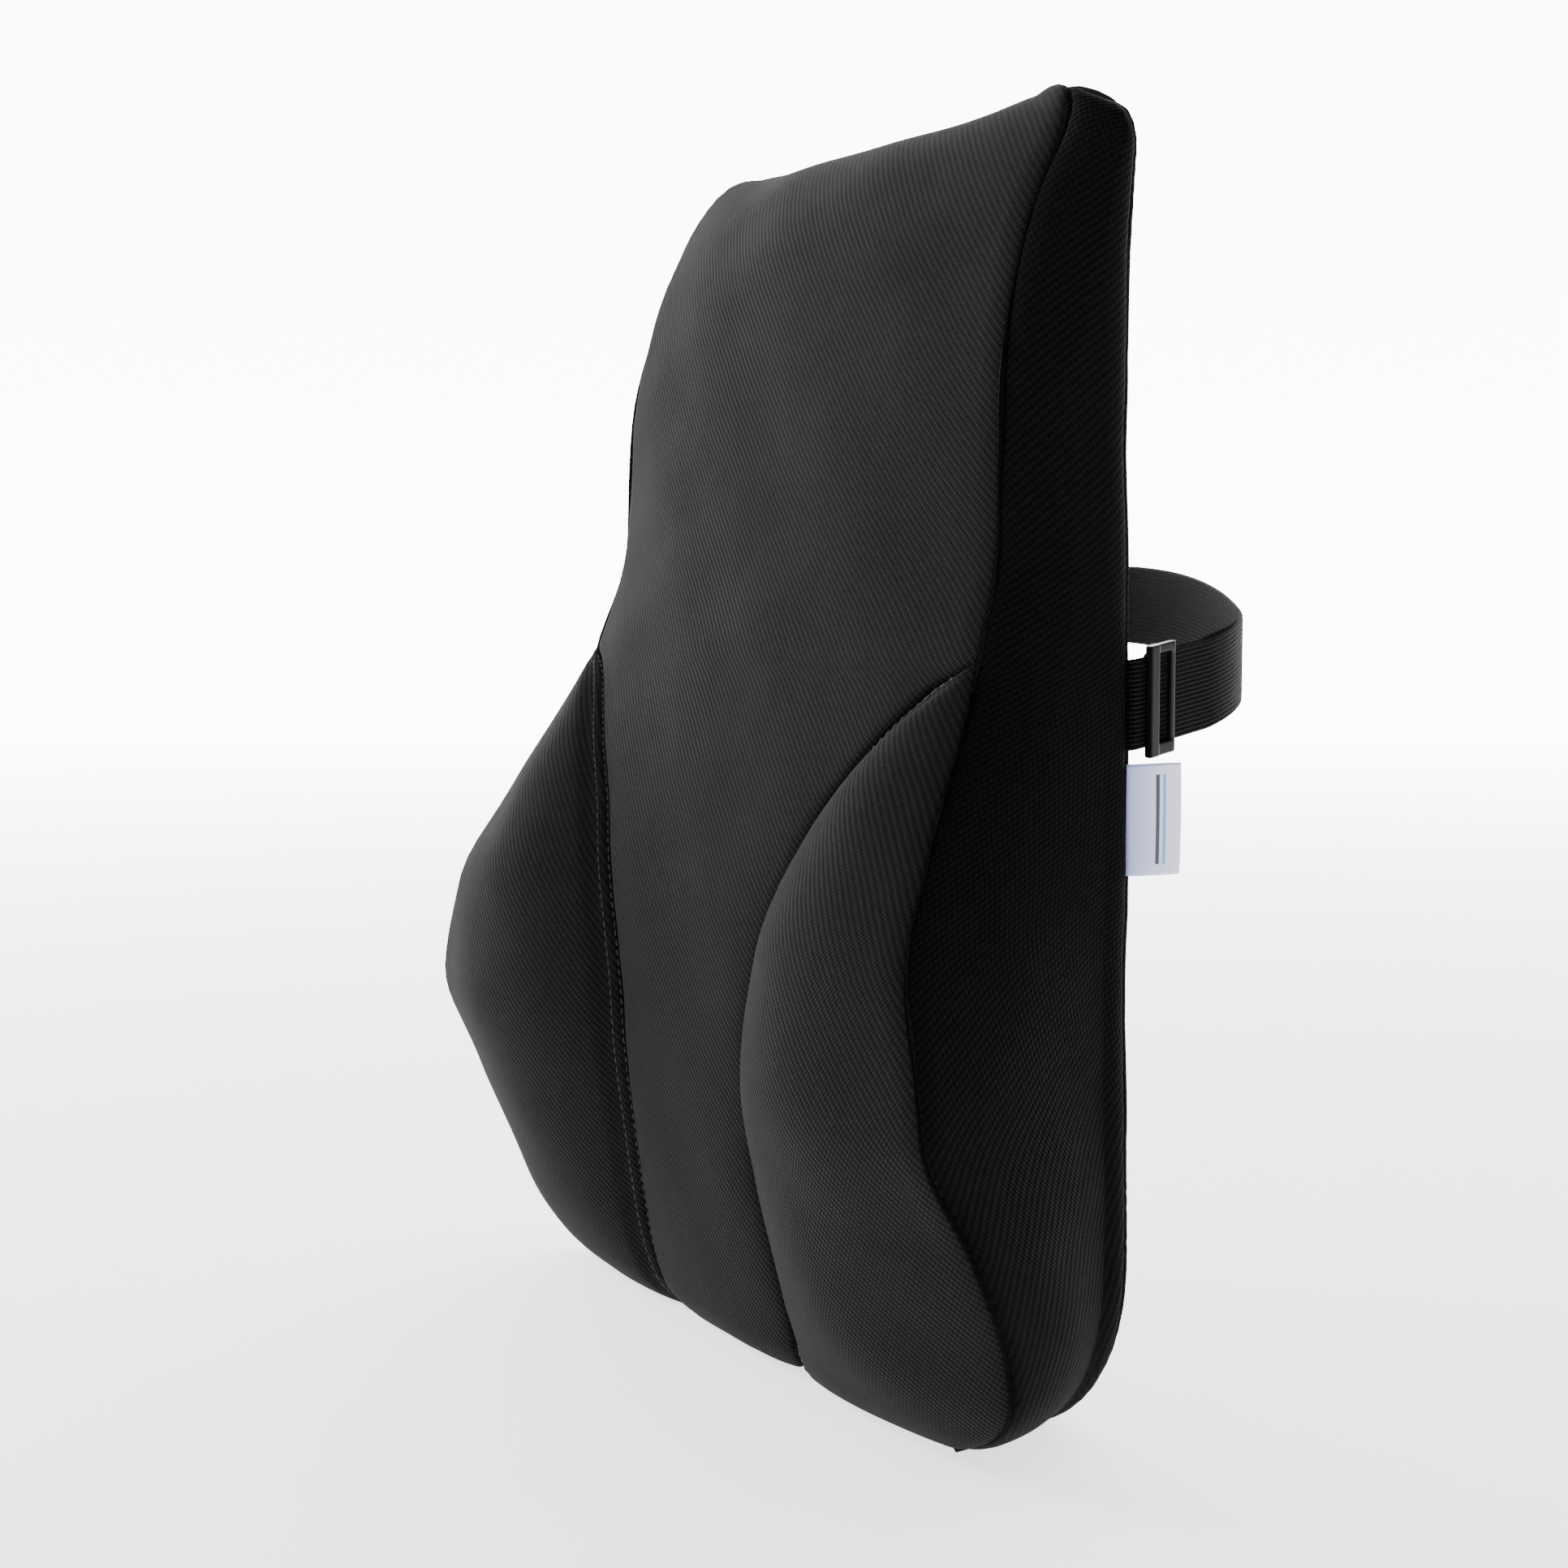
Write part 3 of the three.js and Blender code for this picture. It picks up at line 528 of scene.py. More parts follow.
shift = layer_shift(FINE_Z, FINE_C)
smooth_skin = closed_points(FINE_Z, FINE_C, 0) + shift
under_skin = closed_points(FINE_Z, FINE_C, COVER) + shift
QUADS = grid_faces(*smooth_skin.shape[:2])
OUTWARD = vertex_normals(smooth_skin, QUADS)
_, CREASE = seam_shapes(smooth_skin, FINE_Z, FINE_C)
above_base = np.ones(smooth_skin.shape[:2])
above_base[:CAP_RINGS + LEVEL_ROWS] = 0
skin = smooth_skin - OUTWARD * (CREASE - undulation(smooth_skin) * above_base)[..., None]
skin[..., 2] = np.maximum(skin[..., 2], 0)
OWNERS = np.array(panel_names(FINE_Z, FINE_C))


def weave_places(points, c):
    """Each point's place on the cloth, in metres: along the row from its panel's seam, and up."""
    around = points.shape[1]
    half = around // 2
    column = np.arange(around)
    right = np.where(column <= half, column, around - column)
    sign = np.where(column <= half, 1, -1)
    arc = arc_lengths(points[:, :half + 1])
    v = arc_lengths(points[None, :, nearest(c, 0.5)])[0]
    u = arc[:, right] * sign
    return np.stack([u, v[:, None] + 0 * u], axis=-1) * MM


WEAVE = weave_places(smooth_skin, FINE_C).reshape(-1, 2)
# the back's cloth is cut in one piece across its middle, so its places run straight across
BACK_WEAVE = np.stack([smooth_skin[..., 0].ravel() * MM, WEAVE[:, 1]], axis=-1)
# each vertex's depth in a seam crease, which the knit material turns into painted shade in the seams
CREASE_PLACES = np.stack([CREASE.ravel() / (COVER - THINNEST_COVER), 0 * CREASE.ravel()], axis=-1)


def unit(vector):
    return vector / max(np.linalg.norm(vector), 1e-9)


def shell(name, owners, outer, inner, cloth_places=WEAVE, edge_gap=0.03):
    """A closed cloth shell over the patches of these owners, between two surfaces."""
    mask = np.isin(OWNERS, owners)
    used, local = renumbered(QUADS[mask])
    edges = {}
    for face in local:
        for a, b in zip(face, np.roll(face, -1)):
            if a != b:
                edges[(int(a), int(b))] = face
    rim = [(a, b, f) for (a, b), f in edges.items() if (b, a) not in edges]
    outer_points = outer.reshape(-1, 3)[used].copy()
    inner_points = inner.reshape(-1, 3)[used].copy()
    for cloud in (outer_points, inner_points):
        pulls = np.zeros_like(cloud)
        for a, b, face in rim:
            centre = cloud[face].mean(axis=0)
            along = unit(cloud[b] - cloud[a])
            inward = centre - cloud[a]
            inward = unit(inward - along * inward.dot(along))
            pulls[a] += inward
            pulls[b] += inward
        size = np.linalg.norm(pulls, axis=1, keepdims=True)
        cloud += np.where(size > 1e-9, pulls / np.maximum(size, 1e-9), 0) * edge_gap
    count = len(used)
    quads = [list(dict.fromkeys(f.tolist())) for f in local]
    inner_quads = [[i + count for i in reversed(q)] for q in quads]
    sides = [[b, a, a + count, b + count] for a, b, _ in rim]
    points = np.concatenate([outer_points, inner_points])
    weave, crease = (np.concatenate([places[used]] * 2) for places in (cloth_places, CREASE_PLACES))
    return mesh_object(name, points, quads + inner_quads + sides, weave, crease)


# ---------- materials
class Nodes:
    """Short calls for building a material's node tree."""

    def __init__(self, name):
        self.material = bpy.data.materials.new(name)
        self.material.use_nodes = True
        self.tree = self.material.node_tree
        self.shader = next(n for n in self.tree.nodes if n.type == "BSDF_PRINCIPLED")

    def node(self, kind, **values):
        made = self.tree.nodes.new(kind)
        for key, value in values.items():
            setattr(made, key, value)
        return made

    def link(self, source, target):
        self.tree.links.new(source, target)

    def feed(self, socket, value):
        if isinstance(value, (int, float, tuple)):
            socket.default_value = value
        else:
            self.link(value, socket)

    def math(self, operation, a, b=0.0):
        made = self.node("ShaderNodeMath", operation=operation)
        self.feed(made.inputs[0], a)
        self.feed(made.inputs[1], b)
        return made.outputs[0]

    def times(self, a, b):
        return self.math("MULTIPLY", a, b)

    def plus(self, a, b):
        return self.math("ADD", a, b)

    def weave(self):
        """Cloth coordinates in millimetres."""
        uv = self.node("ShaderNodeUVMap", uv_map="weave")
        split = self.node("ShaderNodeSeparateXYZ")
        self.link(uv.outputs[0], split.inputs[0])
        return tuple(self.times(split.outputs[k], 1000.0) for k in (0, 1))

    def wave(self, u, v, pitch, degrees):
        """0 to 1 ridges whose lines run at this angle from the u direction."""
        angle = math.radians(degrees)
        across = self.plus(self.times(u, -math.sin(angle) * 2 * math.pi / pitch),
                           self.times(v, math.cos(angle) * 2 * math.pi / pitch))
        return self.plus(self.times(self.math("SINE", across), 0.5), 0.5)

    def noise(self, scale, detail):
        place = self.node("ShaderNodeTexCoord")
        made = self.node("ShaderNodeTexNoise")
        made.inputs["Scale"].default_value = scale
        made.inputs["Detail"].default_value = detail
        self.link(place.outputs["Object"], made.inputs["Vector"])
        return made.outputs["Fac"]

    def mix(self, share, a, b):
        made = self.node("ShaderNodeMix", data_type="RGBA")
        self.feed(made.inputs[0], share)
        for socket, value in ((made.inputs[6], a), (made.inputs[7], b)):
            self.feed(socket, (*value, 1.0) if isinstance(value, tuple) else value)
        return made.outputs[2]

    def bump(self, height, strength, distance):
        made = self.node("ShaderNodeBump")
        made.inputs["Strength"].default_value = strength
        made.inputs["Distance"].default_value = distance
        self.link(height, made.inputs["Height"])
        self.link(made.outputs[0], self.shader.inputs["Normal"])

    def set(self, **values):
        for key, value in values.items():
            self.shader.inputs[key.replace("_", " ")].default_value = value


def knit(name, dark, light, ribs, sheen):
    """Air-mesh knit: two sets of slanted ridges that leave small dimples between them, and painted shade that
    darkens the colour in the seam creases.
    """
    n = Nodes(name)
    u, v = n.weave()
    warped = n.plus(u, n.times(n.noise(38.0, 2.0), 1.6))
    first = n.wave(warped, v, *ribs[0])
    second = n.wave(warped, v, *ribs[1])
    height = n.plus(n.times(first, 0.62), n.times(second, 0.38))
    height = n.plus(height, n.times(n.noise(2600.0, 1.0), 0.18))
    patches = n.noise(9.0, 3.0)
    tone = n.plus(n.times(height, 0.85), n.times(patches, 0.3))
    crease = n.node("ShaderNodeUVMap", uv_map="crease")
    depth = n.node("ShaderNodeSeparateXYZ")
    n.link(crease.outputs[0], depth.inputs[0])
    cloth = n.mix(n.math("SUBTRACT", tone, 0.1), dark, light)
    # painted shade: the colour darkens towards the bottom of each seam crease, where shade falls in the
    # groove
    painted_seam_shade = n.times(n.math("POWER", depth.outputs[0], 1.2), 0.85)
    n.link(n.mix(painted_seam_shade, cloth, tuple(v * 0.3 for v in dark)), n.shader.inputs["Base Color"])
    rough = n.plus(0.86, n.times(n.noise(60.0, 2.0), 0.12))
    n.link(rough, n.shader.inputs["Roughness"])
    n.bump(height, 0.6, 0.0005)
    n.set(Sheen_Weight=sheen, Sheen_Roughness=0.45, Sheen_Tint=(0.8, 0.8, 0.85, 1.0),
          Specular_IOR_Level=0.04)
    return n.material


def plain(name, dark, light, rough, grain, bump, metal=0.0, specular=0.5):
    """Moulded plastic, painted metal, thread, liner or foam: fine grain and slight unevenness."""
    n = Nodes(name)
    fine = n.noise(grain, 4.0)
    n.link(n.mix(n.noise(24.0, 2.0), dark, light), n.shader.inputs["Base Color"])
    n.link(n.plus(rough, n.times(fine, 0.12)), n.shader.inputs["Roughness"])
    n.bump(fine, bump, 0.0002)
    n.set(Metallic=metal, Specular_IOR_Level=specular)
    return n.material


def elastic(name):
    """Elastic webbing: the ribs are geometry; the cross picks and the light flecks are drawn, and the colour
    is darkened in the grooves between the ribs as painted shade.
    """
    n = Nodes(name)
    u, v = n.weave()
    pick_pitch = 1.15
    picks = n.wave(u, v, pick_pitch, 90)
    rib = n.wave(u, v, STRAP["height"] / RIBS, 0)
    offset = n.wave(n.plus(u, n.times(rib, 0.55)), v, pick_pitch, 90)
    height = n.plus(n.times(picks, 0.35), n.times(offset, 0.65))
    # woven picks whose colour fades towards the grooves between the ribs: painted shade in the grooves
    picks_and_groove_shade = n.times(n.math("POWER", rib, 1.6), height)
    flecks = n.times(n.noise(1500.0, 1.0), 0.35)
    n.link(n.mix(n.plus(picks_and_groove_shade, n.math("SUBTRACT", flecks, 0.15)),
                 (0.0003, 0.0003, 0.0003), (0.013, 0.013, 0.0138)), n.shader.inputs["Base Color"])
    n.link(n.plus(0.62, n.times(flecks, 0.5)), n.shader.inputs["Roughness"])
    n.bump(height, 0.8, 0.0003)
    n.set(Sheen_Weight=0.0, Specular_IOR_Level=0.04)
    return n.material


def satin(name, width, height):
    """Woven satin with plain stripes in place of any mark."""
    n = Nodes(name)
    u, v = n.weave()
    threads = n.wave(u, v, 0.35, 90)
    picks = n.wave(u, v, 0.5, 0)
    ground = n.mix(n.math("DIVIDE", u, width), (0.34, 0.38, 0.68), (0.66, 0.69, 0.78))

    def between(value, low, high):
        return n.times(n.math("GREATER_THAN", value, low), n.math("LESS_THAN", value, high))

    def stripe(low, high):
        across = between(u, width * low, width * high)
        return n.times(across, between(v, height * 0.1, height * 0.9))

    colour = n.mix(stripe(0.47, 0.55), ground, (0.012, 0.016, 0.04))
    colour = n.mix(stripe(0.62, 0.68), colour, (0.07, 0.30, 0.62))
    n.link(colour, n.shader.inputs["Base Color"])
    n.link(n.plus(0.33, n.times(threads, 0.15)), n.shader.inputs["Roughness"])
    n.bump(n.plus(n.times(threads, 0.6), n.times(picks, 0.4)), 0.35, 0.00012)
    n.set(Sheen_Weight=0.2, Sheen_Roughness=0.3)
    return n.material


def twill_tape(name):
    """Woven zip tape with one slanted set of ridges."""
    n = Nodes(name)
    place = n.node("ShaderNodeTexCoord")
    split = n.node("ShaderNodeSeparateXYZ")
    n.link(place.outputs["Object"], split.inputs[0])
    x, z = (n.times(split.outputs[k], 1000.0) for k in (0, 2))
    twill = n.wave(x, z, 0.9, 60)
    n.link(n.mix(twill, (0.004, 0.004, 0.005), (0.016, 0.016, 0.018)), n.shader.inputs["Base Color"])
    n.bump(twill, 0.6, 0.0002)
    n.set(Roughness=0.85, Sheen_Weight=0.0, Specular_IOR_Level=0.08)
    return n.material


FRONT_RIBS = [(2.2, -44), (1.4, 50)]
SIDE_RIBS = [(2.7, 43), (1.6, -50)]
MATERIALS = {
    "front": knit("knit_front", (0.0015, 0.0015, 0.0016), (0.0102, 0.0102, 0.0106), FRONT_RIBS, 0.03),
    "side": knit("knit_side", (0.0004, 0.0004, 0.0004), (0.0034, 0.0034, 0.0035), SIDE_RIBS, 0.0),
    "foam": plain("memory_foam", (0.62, 0.57, 0.44), (0.75, 0.71, 0.58), 0.85, 900.0, 0.8),
    "liner": plain("white_liner", (0.74, 0.73, 0.70), (0.86, 0.85, 0.82), 0.85, 1400.0, 0.5),
    "elastic": elastic("elastic_webbing"),
    "slide": plain("satin_acetal", (0.0015, 0.0015, 0.0016), (0.004, 0.004, 0.0042), 0.36, 700.0, 0.12,
                   specular=0.12),
    "thread": plain("black_thread", (0.010, 0.010, 0.011), (0.026, 0.026, 0.028), 0.6, 3000.0, 0.5),
    "coil": plain("nylon_coil", (0.008, 0.008, 0.009), (0.016, 0.016, 0.017), 0.38, 900.0, 0.2),
    "metal": plain("black_zinc", (0.014, 0.014, 0.015), (0.03, 0.03, 0.032), 0.28, 500.0, 0.15, metal=0.85),
    "tape": twill_tape("zip_tape"),
}


def dress(obj, material):
    obj.data.materials.clear()
    obj.data.materials.append(material)
    return obj


def finish_piece(obj, material, body, node=None):
    """Material, body and the CAD node that the piece stands for."""
    dress(obj, MATERIALS[material])
    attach(obj, body)
    if node:
        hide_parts(node)
    return obj


# ---------- cover, liner and foam
FRONT_PANELS = ["cover_front_centre", "cover_wing_left", "cover_wing_right"]
OTHER_PANELS = ["cover_side_left", "cover_side_right", "cover_back_upper", "cover_back_lower",
                "cover_base"]
for node in FRONT_PANELS + OTHER_PANELS:
    look = "front" if node in FRONT_PANELS else "side"
    places = BACK_WEAVE if "back" in node else WEAVE
    panel = shell(node.replace("cover_", "panel_"), [node], skin, under_skin, places)
    finish_piece(panel, look, "root", node)

liner_outer = closed_points(FINE_Z, FINE_C, LINER_INSET) + shift
liner_inner = closed_points(FINE_Z, FINE_C, LINER_INSET + LINER) + shift
for name, owners in (("liner_front", FRONT_PANELS), ("liner_back", OTHER_PANELS + ["zip_slot"])):
    lining = shell(name.replace("liner", "lining"), owners, liner_outer, liner_inner)
    finish_piece(lining, "liner", "root", name)

core_points = closed_points(CORE_Z, CORE_C, CORE_INSET) + layer_shift(CORE_Z, CORE_C)
core_used, core_quads = renumbered(grid_faces(*core_points.shape[:2]).reshape(-1, 4))
core_faces = [list(dict.fromkeys(f.tolist())) for f in core_quads]
core = mesh_object("foam_block", core_points.reshape(-1, 3)[core_used], core_faces)
finish_piece(core, "foam", "root", "foam_core")


# ---------- thread
def point_at(s, arc, cloud):
    return np.array([np.interp(s, arc, cloud[:, k]) for k in range(3)])


def thread_run(path, normals, length, gap, radius, sides=6, stations=5):
    """Separate stitches laid along a path on the cloth, each dipping in at its ends."""
    arc = arc_lengths(path[None])[0]
    vertices, faces = [], []
    start = gap
    while start + length < arc[-1]:
        base = len(vertices)
        for i in range(stations):
            share = i / (stations - 1)
            s = start + share * length
            normal = unit(point_at(s, arc, normals))
            tangent = unit(point_at(s + 0.2, arc, path) - point_at(s - 0.2, arc, path))
            across = np.cross(tangent, normal)
            bow = math.sin(math.pi * share)
            centre = point_at(s, arc, path) + normal * (radius * (1.5 * bow - 0.7))
            size = radius * (0.45 + 0.55 * bow)
            for k in range(sides):
                turn = 2 * math.pi * k / sides
                vertices.append(centre + size * (math.cos(turn) * across + math.sin(turn) * normal))
        faces += tube_faces(stations, sides, base, clockwise=True)
        start += length + gap
    return vertices, faces


def merged(name, runs):
    vertices, faces = [], []
    for points, quads in runs:
        faces += [[i + len(vertices) for i in f] for f in quads]
        vertices += points
    return mesh_object(name, vertices, faces)


STITCH = {"length": 2.9, "gap": 0.9, "radius": 0.28}
STITCH_LOWEST = 3
STITCH_ROOM = 9  # no stitches where the wing is narrower than this beyond them
STITCH_FROM_SLOT = 3
row_skin = skin[CAP_RINGS:CAP_RINGS + len(FINE_Z)]
row_normals = OUTWARD[CAP_RINGS:CAP_RINGS + len(FINE_Z)]


def wing_stitches(mirror, distance):
    """The path on a wing at this distance from its inner seam."""
    on_wing = half_columns(row_skin.shape[1], mirror)[nearest(FINE_C, 1):nearest(FINE_C, 2) + 1]
    path, normals = [], []
    for row, z in enumerate(FINE_Z):
        line, up = row_skin[row, on_wing], row_normals[row, on_wing]
        arc = arc_lengths(line[None])[0]
        if z < STITCH_LOWEST or z > WING_TOP or arc[-1] < distance + STITCH_ROOM:
            continue
        path.append(point_at(distance, arc, line))
        normals.append(point_at(distance, arc, up))
    return np.array(path), np.array(normals)


for side_name, mirror in (("right", False), ("left", True)):
    runs = [thread_run(*wing_stitches(mirror, d), **STITCH) for d in TOPSTITCH]
    stitching = merged(f"wing_stitching_{side_name}", runs)
    finish_piece(stitching, "thread", "root")


def zip_stitches(z):
    """The path on the back at about this height, from one end of the zip's slot to the other."""
    x = np.linspace(-ZIP_HALF_X, ZIP_HALF_X, 120)
    row = nearest(FINE_Z, z)
    back = row_skin[row]
    on_back = np.flatnonzero(np.concatenate([FINE_C, FINE_C[-2:0:-1]]) > 4)
    on_back = on_back[np.argsort(back[on_back, 0])]
    y = np.interp(x, back[on_back, 0], back[on_back, 1])
    return np.stack([x, y, 0 * x + FINE_Z[row]], axis=1), np.tile([0.0, 1.0, 0.0], (len(x), 1))


stitched_at = (SLOT_LOW - STITCH_FROM_SLOT, SLOT_HIGH + STITCH_FROM_SLOT)
zip_runs = [thread_run(*zip_stitches(z), **STITCH) for z in stitched_at]
finish_piece(merged("zip_stitching", zip_runs), "thread", "root")


# ---------- zip
tape_low, tape_high = (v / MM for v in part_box("zip_tape_upper"))
coil_low, coil_high = (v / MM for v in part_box("zip_coil_upper"))
TOOTH = {"pitch": 1.3, "thick": 0.85, "inner": 0.3}
TAPE_TUCK = 4  # the tape runs on under the cover at both ends of its slot
TAPE_STATIONS = 140
# (distance from the zip's middle line, share of the tape's depth), with a bead near the inner edge
TAPE_PROFILE = [(0.05, 0.0), (0.05, 0.35), (0.6, 0.5), (0.8, 0.85), (1.1, 1.0), (1.6, 0.85),
                (3.0, 0.72), (6.1, 0.72), (6.3, 0.5), (6.3, 0.0)]


def zip_tape(name, up):
    """Woven tape with a thin bead near its inner edge, slightly waved beyond the bead."""
    vertices = []
    for x in np.linspace(tape_low.x - TAPE_TUCK, tape_high.x + TAPE_TUCK, TAPE_STATIONS):
        wave = 0.04 * math.sin(x / 7.3) + 0.03 * math.sin(x / 2.9)
        for z, share in TAPE_PROFILE:
            y = tape_low.y + share * (tape_high.y - tape_low.y) + wave * (z > 1)
            vertices.append([x, y, ZIP_Z + up * z])
    faces = tube_faces(TAPE_STATIONS, len(TAPE_PROFILE), clockwise=True, flip=up < 0)
    return mesh_object(name, vertices, faces, smooth=False)


def zip_teeth(name, up):
    """A coil's turns: one rounded loop across the tape for each tooth."""
    vertices, faces = [], []
    x = coil_low.x + TOOTH["pitch"]
    shift_x = 0 if up > 0 else TOOTH["pitch"] / 2
    middle = (coil_low.y + coil_high.y) / 2
    reach = (coil_high.y - coil_low.y) / 2
    outer = coil_high.z - ZIP_Z
    sides, stations = 8, 7
    while x + shift_x < coil_high.x - TOOTH["pitch"]:
        base = len(vertices)
        for i in range(stations):
            share = i / (stations - 1)
            z = TOOTH["inner"] + (outer - TOOTH["inner"]) * share
            swell_here = math.sin(math.pi * (0.12 + 0.76 * share)) ** 0.5
            head = 1.12 if share < 0.2 else 1.0
            for k in range(sides):
                turn = 2 * math.pi * k / sides
                vertices.append([
                    x + shift_x + TOOTH["thick"] / 2 * head * swell_here * math.cos(turn) + 0.12 * share,
                    middle + reach * swell_here * math.sin(turn),
                    ZIP_Z + up * z,
                ])
        faces += tube_faces(stations, sides, base, flip=up < 0)
        x += TOOTH["pitch"]
    return mesh_object(name, vertices, faces)


for half, up in (("upper", 1), ("lower", -1)):
    finish_piece(zip_tape(f"tape_{half}", up), "tape", "root", f"zip_tape_{half}")
    finish_piece(zip_teeth(f"teeth_{half}", up), "coil", "root", f"zip_coil_{half}")


EDGE_ROUNDING = {"zip_slider": 0.22, "zip_pull": 0.3, "zip_stop_left": 0.25, "zip_stop_right": 0.25}


def soften(node, width):
    """Rounds the edges of a CAD node that stays, by modifiers that leave its own vertices alone."""
    obj = frame["nodes"][node]
    weld = obj.modifiers.new("weld", "WELD")
    weld.merge_threshold = 0.00001
    bevel = obj.modifiers.new("rounding", "BEVEL")
    bevel.width = width * MM
    bevel.segments = 2
    bevel.limit_method = "ANGLE"
    bevel.angle_limit = math.radians(35)
    bevel.use_clamp_overlap = True
    return obj


for node, width in EDGE_ROUNDING.items():
    dress(soften(node, width), MATERIALS["metal"])


LEAN = math.radians(90 + STRAP["lean"])
HOOK_END = LEAN + math.radians(STRAP["turn"])
start_point = np.array([STRAP["x"], BACK_Y + STRAP["out"]], float)
hook_point = start_point + STRAP["straight"] * np.array([math.cos(LEAN), math.sin(LEAN)])


def bend(origin, radius, a0, a1):
    return origin + radius * np.array([math.sin(a1) - math.sin(a0), math.cos(a0) - math.cos(a1)])


wide_point = bend(hook_point, STRAP["radius"], LEAN, HOOK_END)
hook_length = STRAP["radius"] * (HOOK_END - LEAN)
WIDE_RADIUS = wide_point[0] / math.sin(math.pi - HOOK_END)
HALF_LENGTH = STRAP["straight"] + hook_length + WIDE_RADIUS * (math.pi - HOOK_END)


def strap_at(s):
    """Plan point and heading of the strap, s millimetres from its right end; past the middle it mirrors."""
    mirror = s > HALF_LENGTH
    s = 2 * HALF_LENGTH - s if mirror else s
    if s < 0:
        t = 1 + s / LEAD_IN["length"]
        begin, by = (start_point + np.array(LEAD_IN[key]) for key in ("from", "by"))
        point = (1 - t) ** 2 * begin + 2 * t * (1 - t) * by + t * t * start_point
        way = (1 - t) * (by - begin) + t * (start_point - by)
        angle = math.atan2(way[1], way[0])
    elif s <= STRAP["straight"]:
        point, angle = start_point + s * np.array([math.cos(LEAN), math.sin(LEAN)]), LEAN
    elif s <= STRAP["straight"] + hook_length:
        angle = LEAN + (s - STRAP["straight"]) / STRAP["radius"]
        point = bend(hook_point, STRAP["radius"], LEAN, angle)
    else:
        angle = HOOK_END + (s - STRAP["straight"] - hook_length) / WIDE_RADIUS
        point = bend(wide_point, WIDE_RADIUS, HOOK_END, angle)
    if mirror:
        return np.array([-point[0], point[1]]), 2 * math.pi - angle
    return point, angle


def strap_lift(s):
    s = min(s, 2 * HALF_LENGTH - s)
    straight = STRAP["climb"] * min(s, STRAP["straight"])
    t = max(0.0, (s - STRAP["straight"]) / (HALF_LENGTH - STRAP["straight"]))
    return straight + (STRAP["rise"] - STRAP["climb"] * STRAP["straight"]) * math.sin(math.pi / 2 * t)


def ribbed_profile():
    """The webbing's section: (outward, up) points round a band with lengthwise ribs and plain edges."""
    half, thick = STRAP["height"] / 2, STRAP["thick"] / 2
    ups = np.linspace(-half + WEBBING_EDGE["plain"], half - WEBBING_EDGE["plain"], RIBS * 5 + 1)
    turn = np.pi * RIBS * (ups + half) / STRAP["height"] - np.pi / 2
    ridge = thick - RIB_HIGH + RIB_HIGH * np.abs(np.cos(turn))
    edge = np.clip((half - np.abs(ups)) / WEBBING_EDGE["thins_over"], WEBBING_EDGE["thinnest"], 1)
    face = ridge * edge
    outside = [(w, u) for w, u in zip(face, ups)]
    inside = [(-w, u) for w, u in zip(face[::-1], ups[::-1])]
    return outside + [(0.0, half)] + inside + [(0.0, -half)]


def webbing(name, start, end, offset, step=2.2):
    """Ribbed webbing along the strap's route; offset(s) shifts it sideways."""
    stations = np.linspace(start, end, int((end - start) / step) + 1)
    if start < 0:
        lead = np.linspace(start, 0, 9)
        inside = np.linspace(0, end + start, int((end + start) / step) + 1)
        stations = np.concatenate([lead[:-1], inside, end + start - lead[-2::-1]])
    profile = ribbed_profile()
    vertices, places = [], []
    for s in stations:
        point, angle = strap_at(s)
        out = np.array([math.sin(angle), -math.cos(angle)])
        for outward, up in profile:
            x, y = point + out * (offset(s) + outward)
            vertices.append([x, y, STRAP["z"] + strap_lift(s) + up])
            places.append([s * MM, up * MM])
    return mesh_object(name, vertices, tube_faces(len(stations), len(profile)), places)


def inner_offset(s):
    """The second layer closes on the first towards its sewn end."""
    closing = smooth_step(np.array((s - INNER["closes_from"]) / INNER["closes_over"])).item()
    return -INNER["offset"] + closing * (INNER["offset"] - STRAP["thick"] - INNER["gap"])


band_run = (-LEAD_IN["length"], 2 * HALF_LENGTH + LEAD_IN["length"], lambda s: 0.0)
for name, node, run in (
    ("strap_band", "strap_webbing", band_run),
    ("strap_second_layer", "strap_inner_layer", (INNER["start"], INNER["end"], inner_offset)),
):
    band_piece = dress(webbing(name, *run), MATERIALS["elastic"])
    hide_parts(node)
    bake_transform(band_piece)


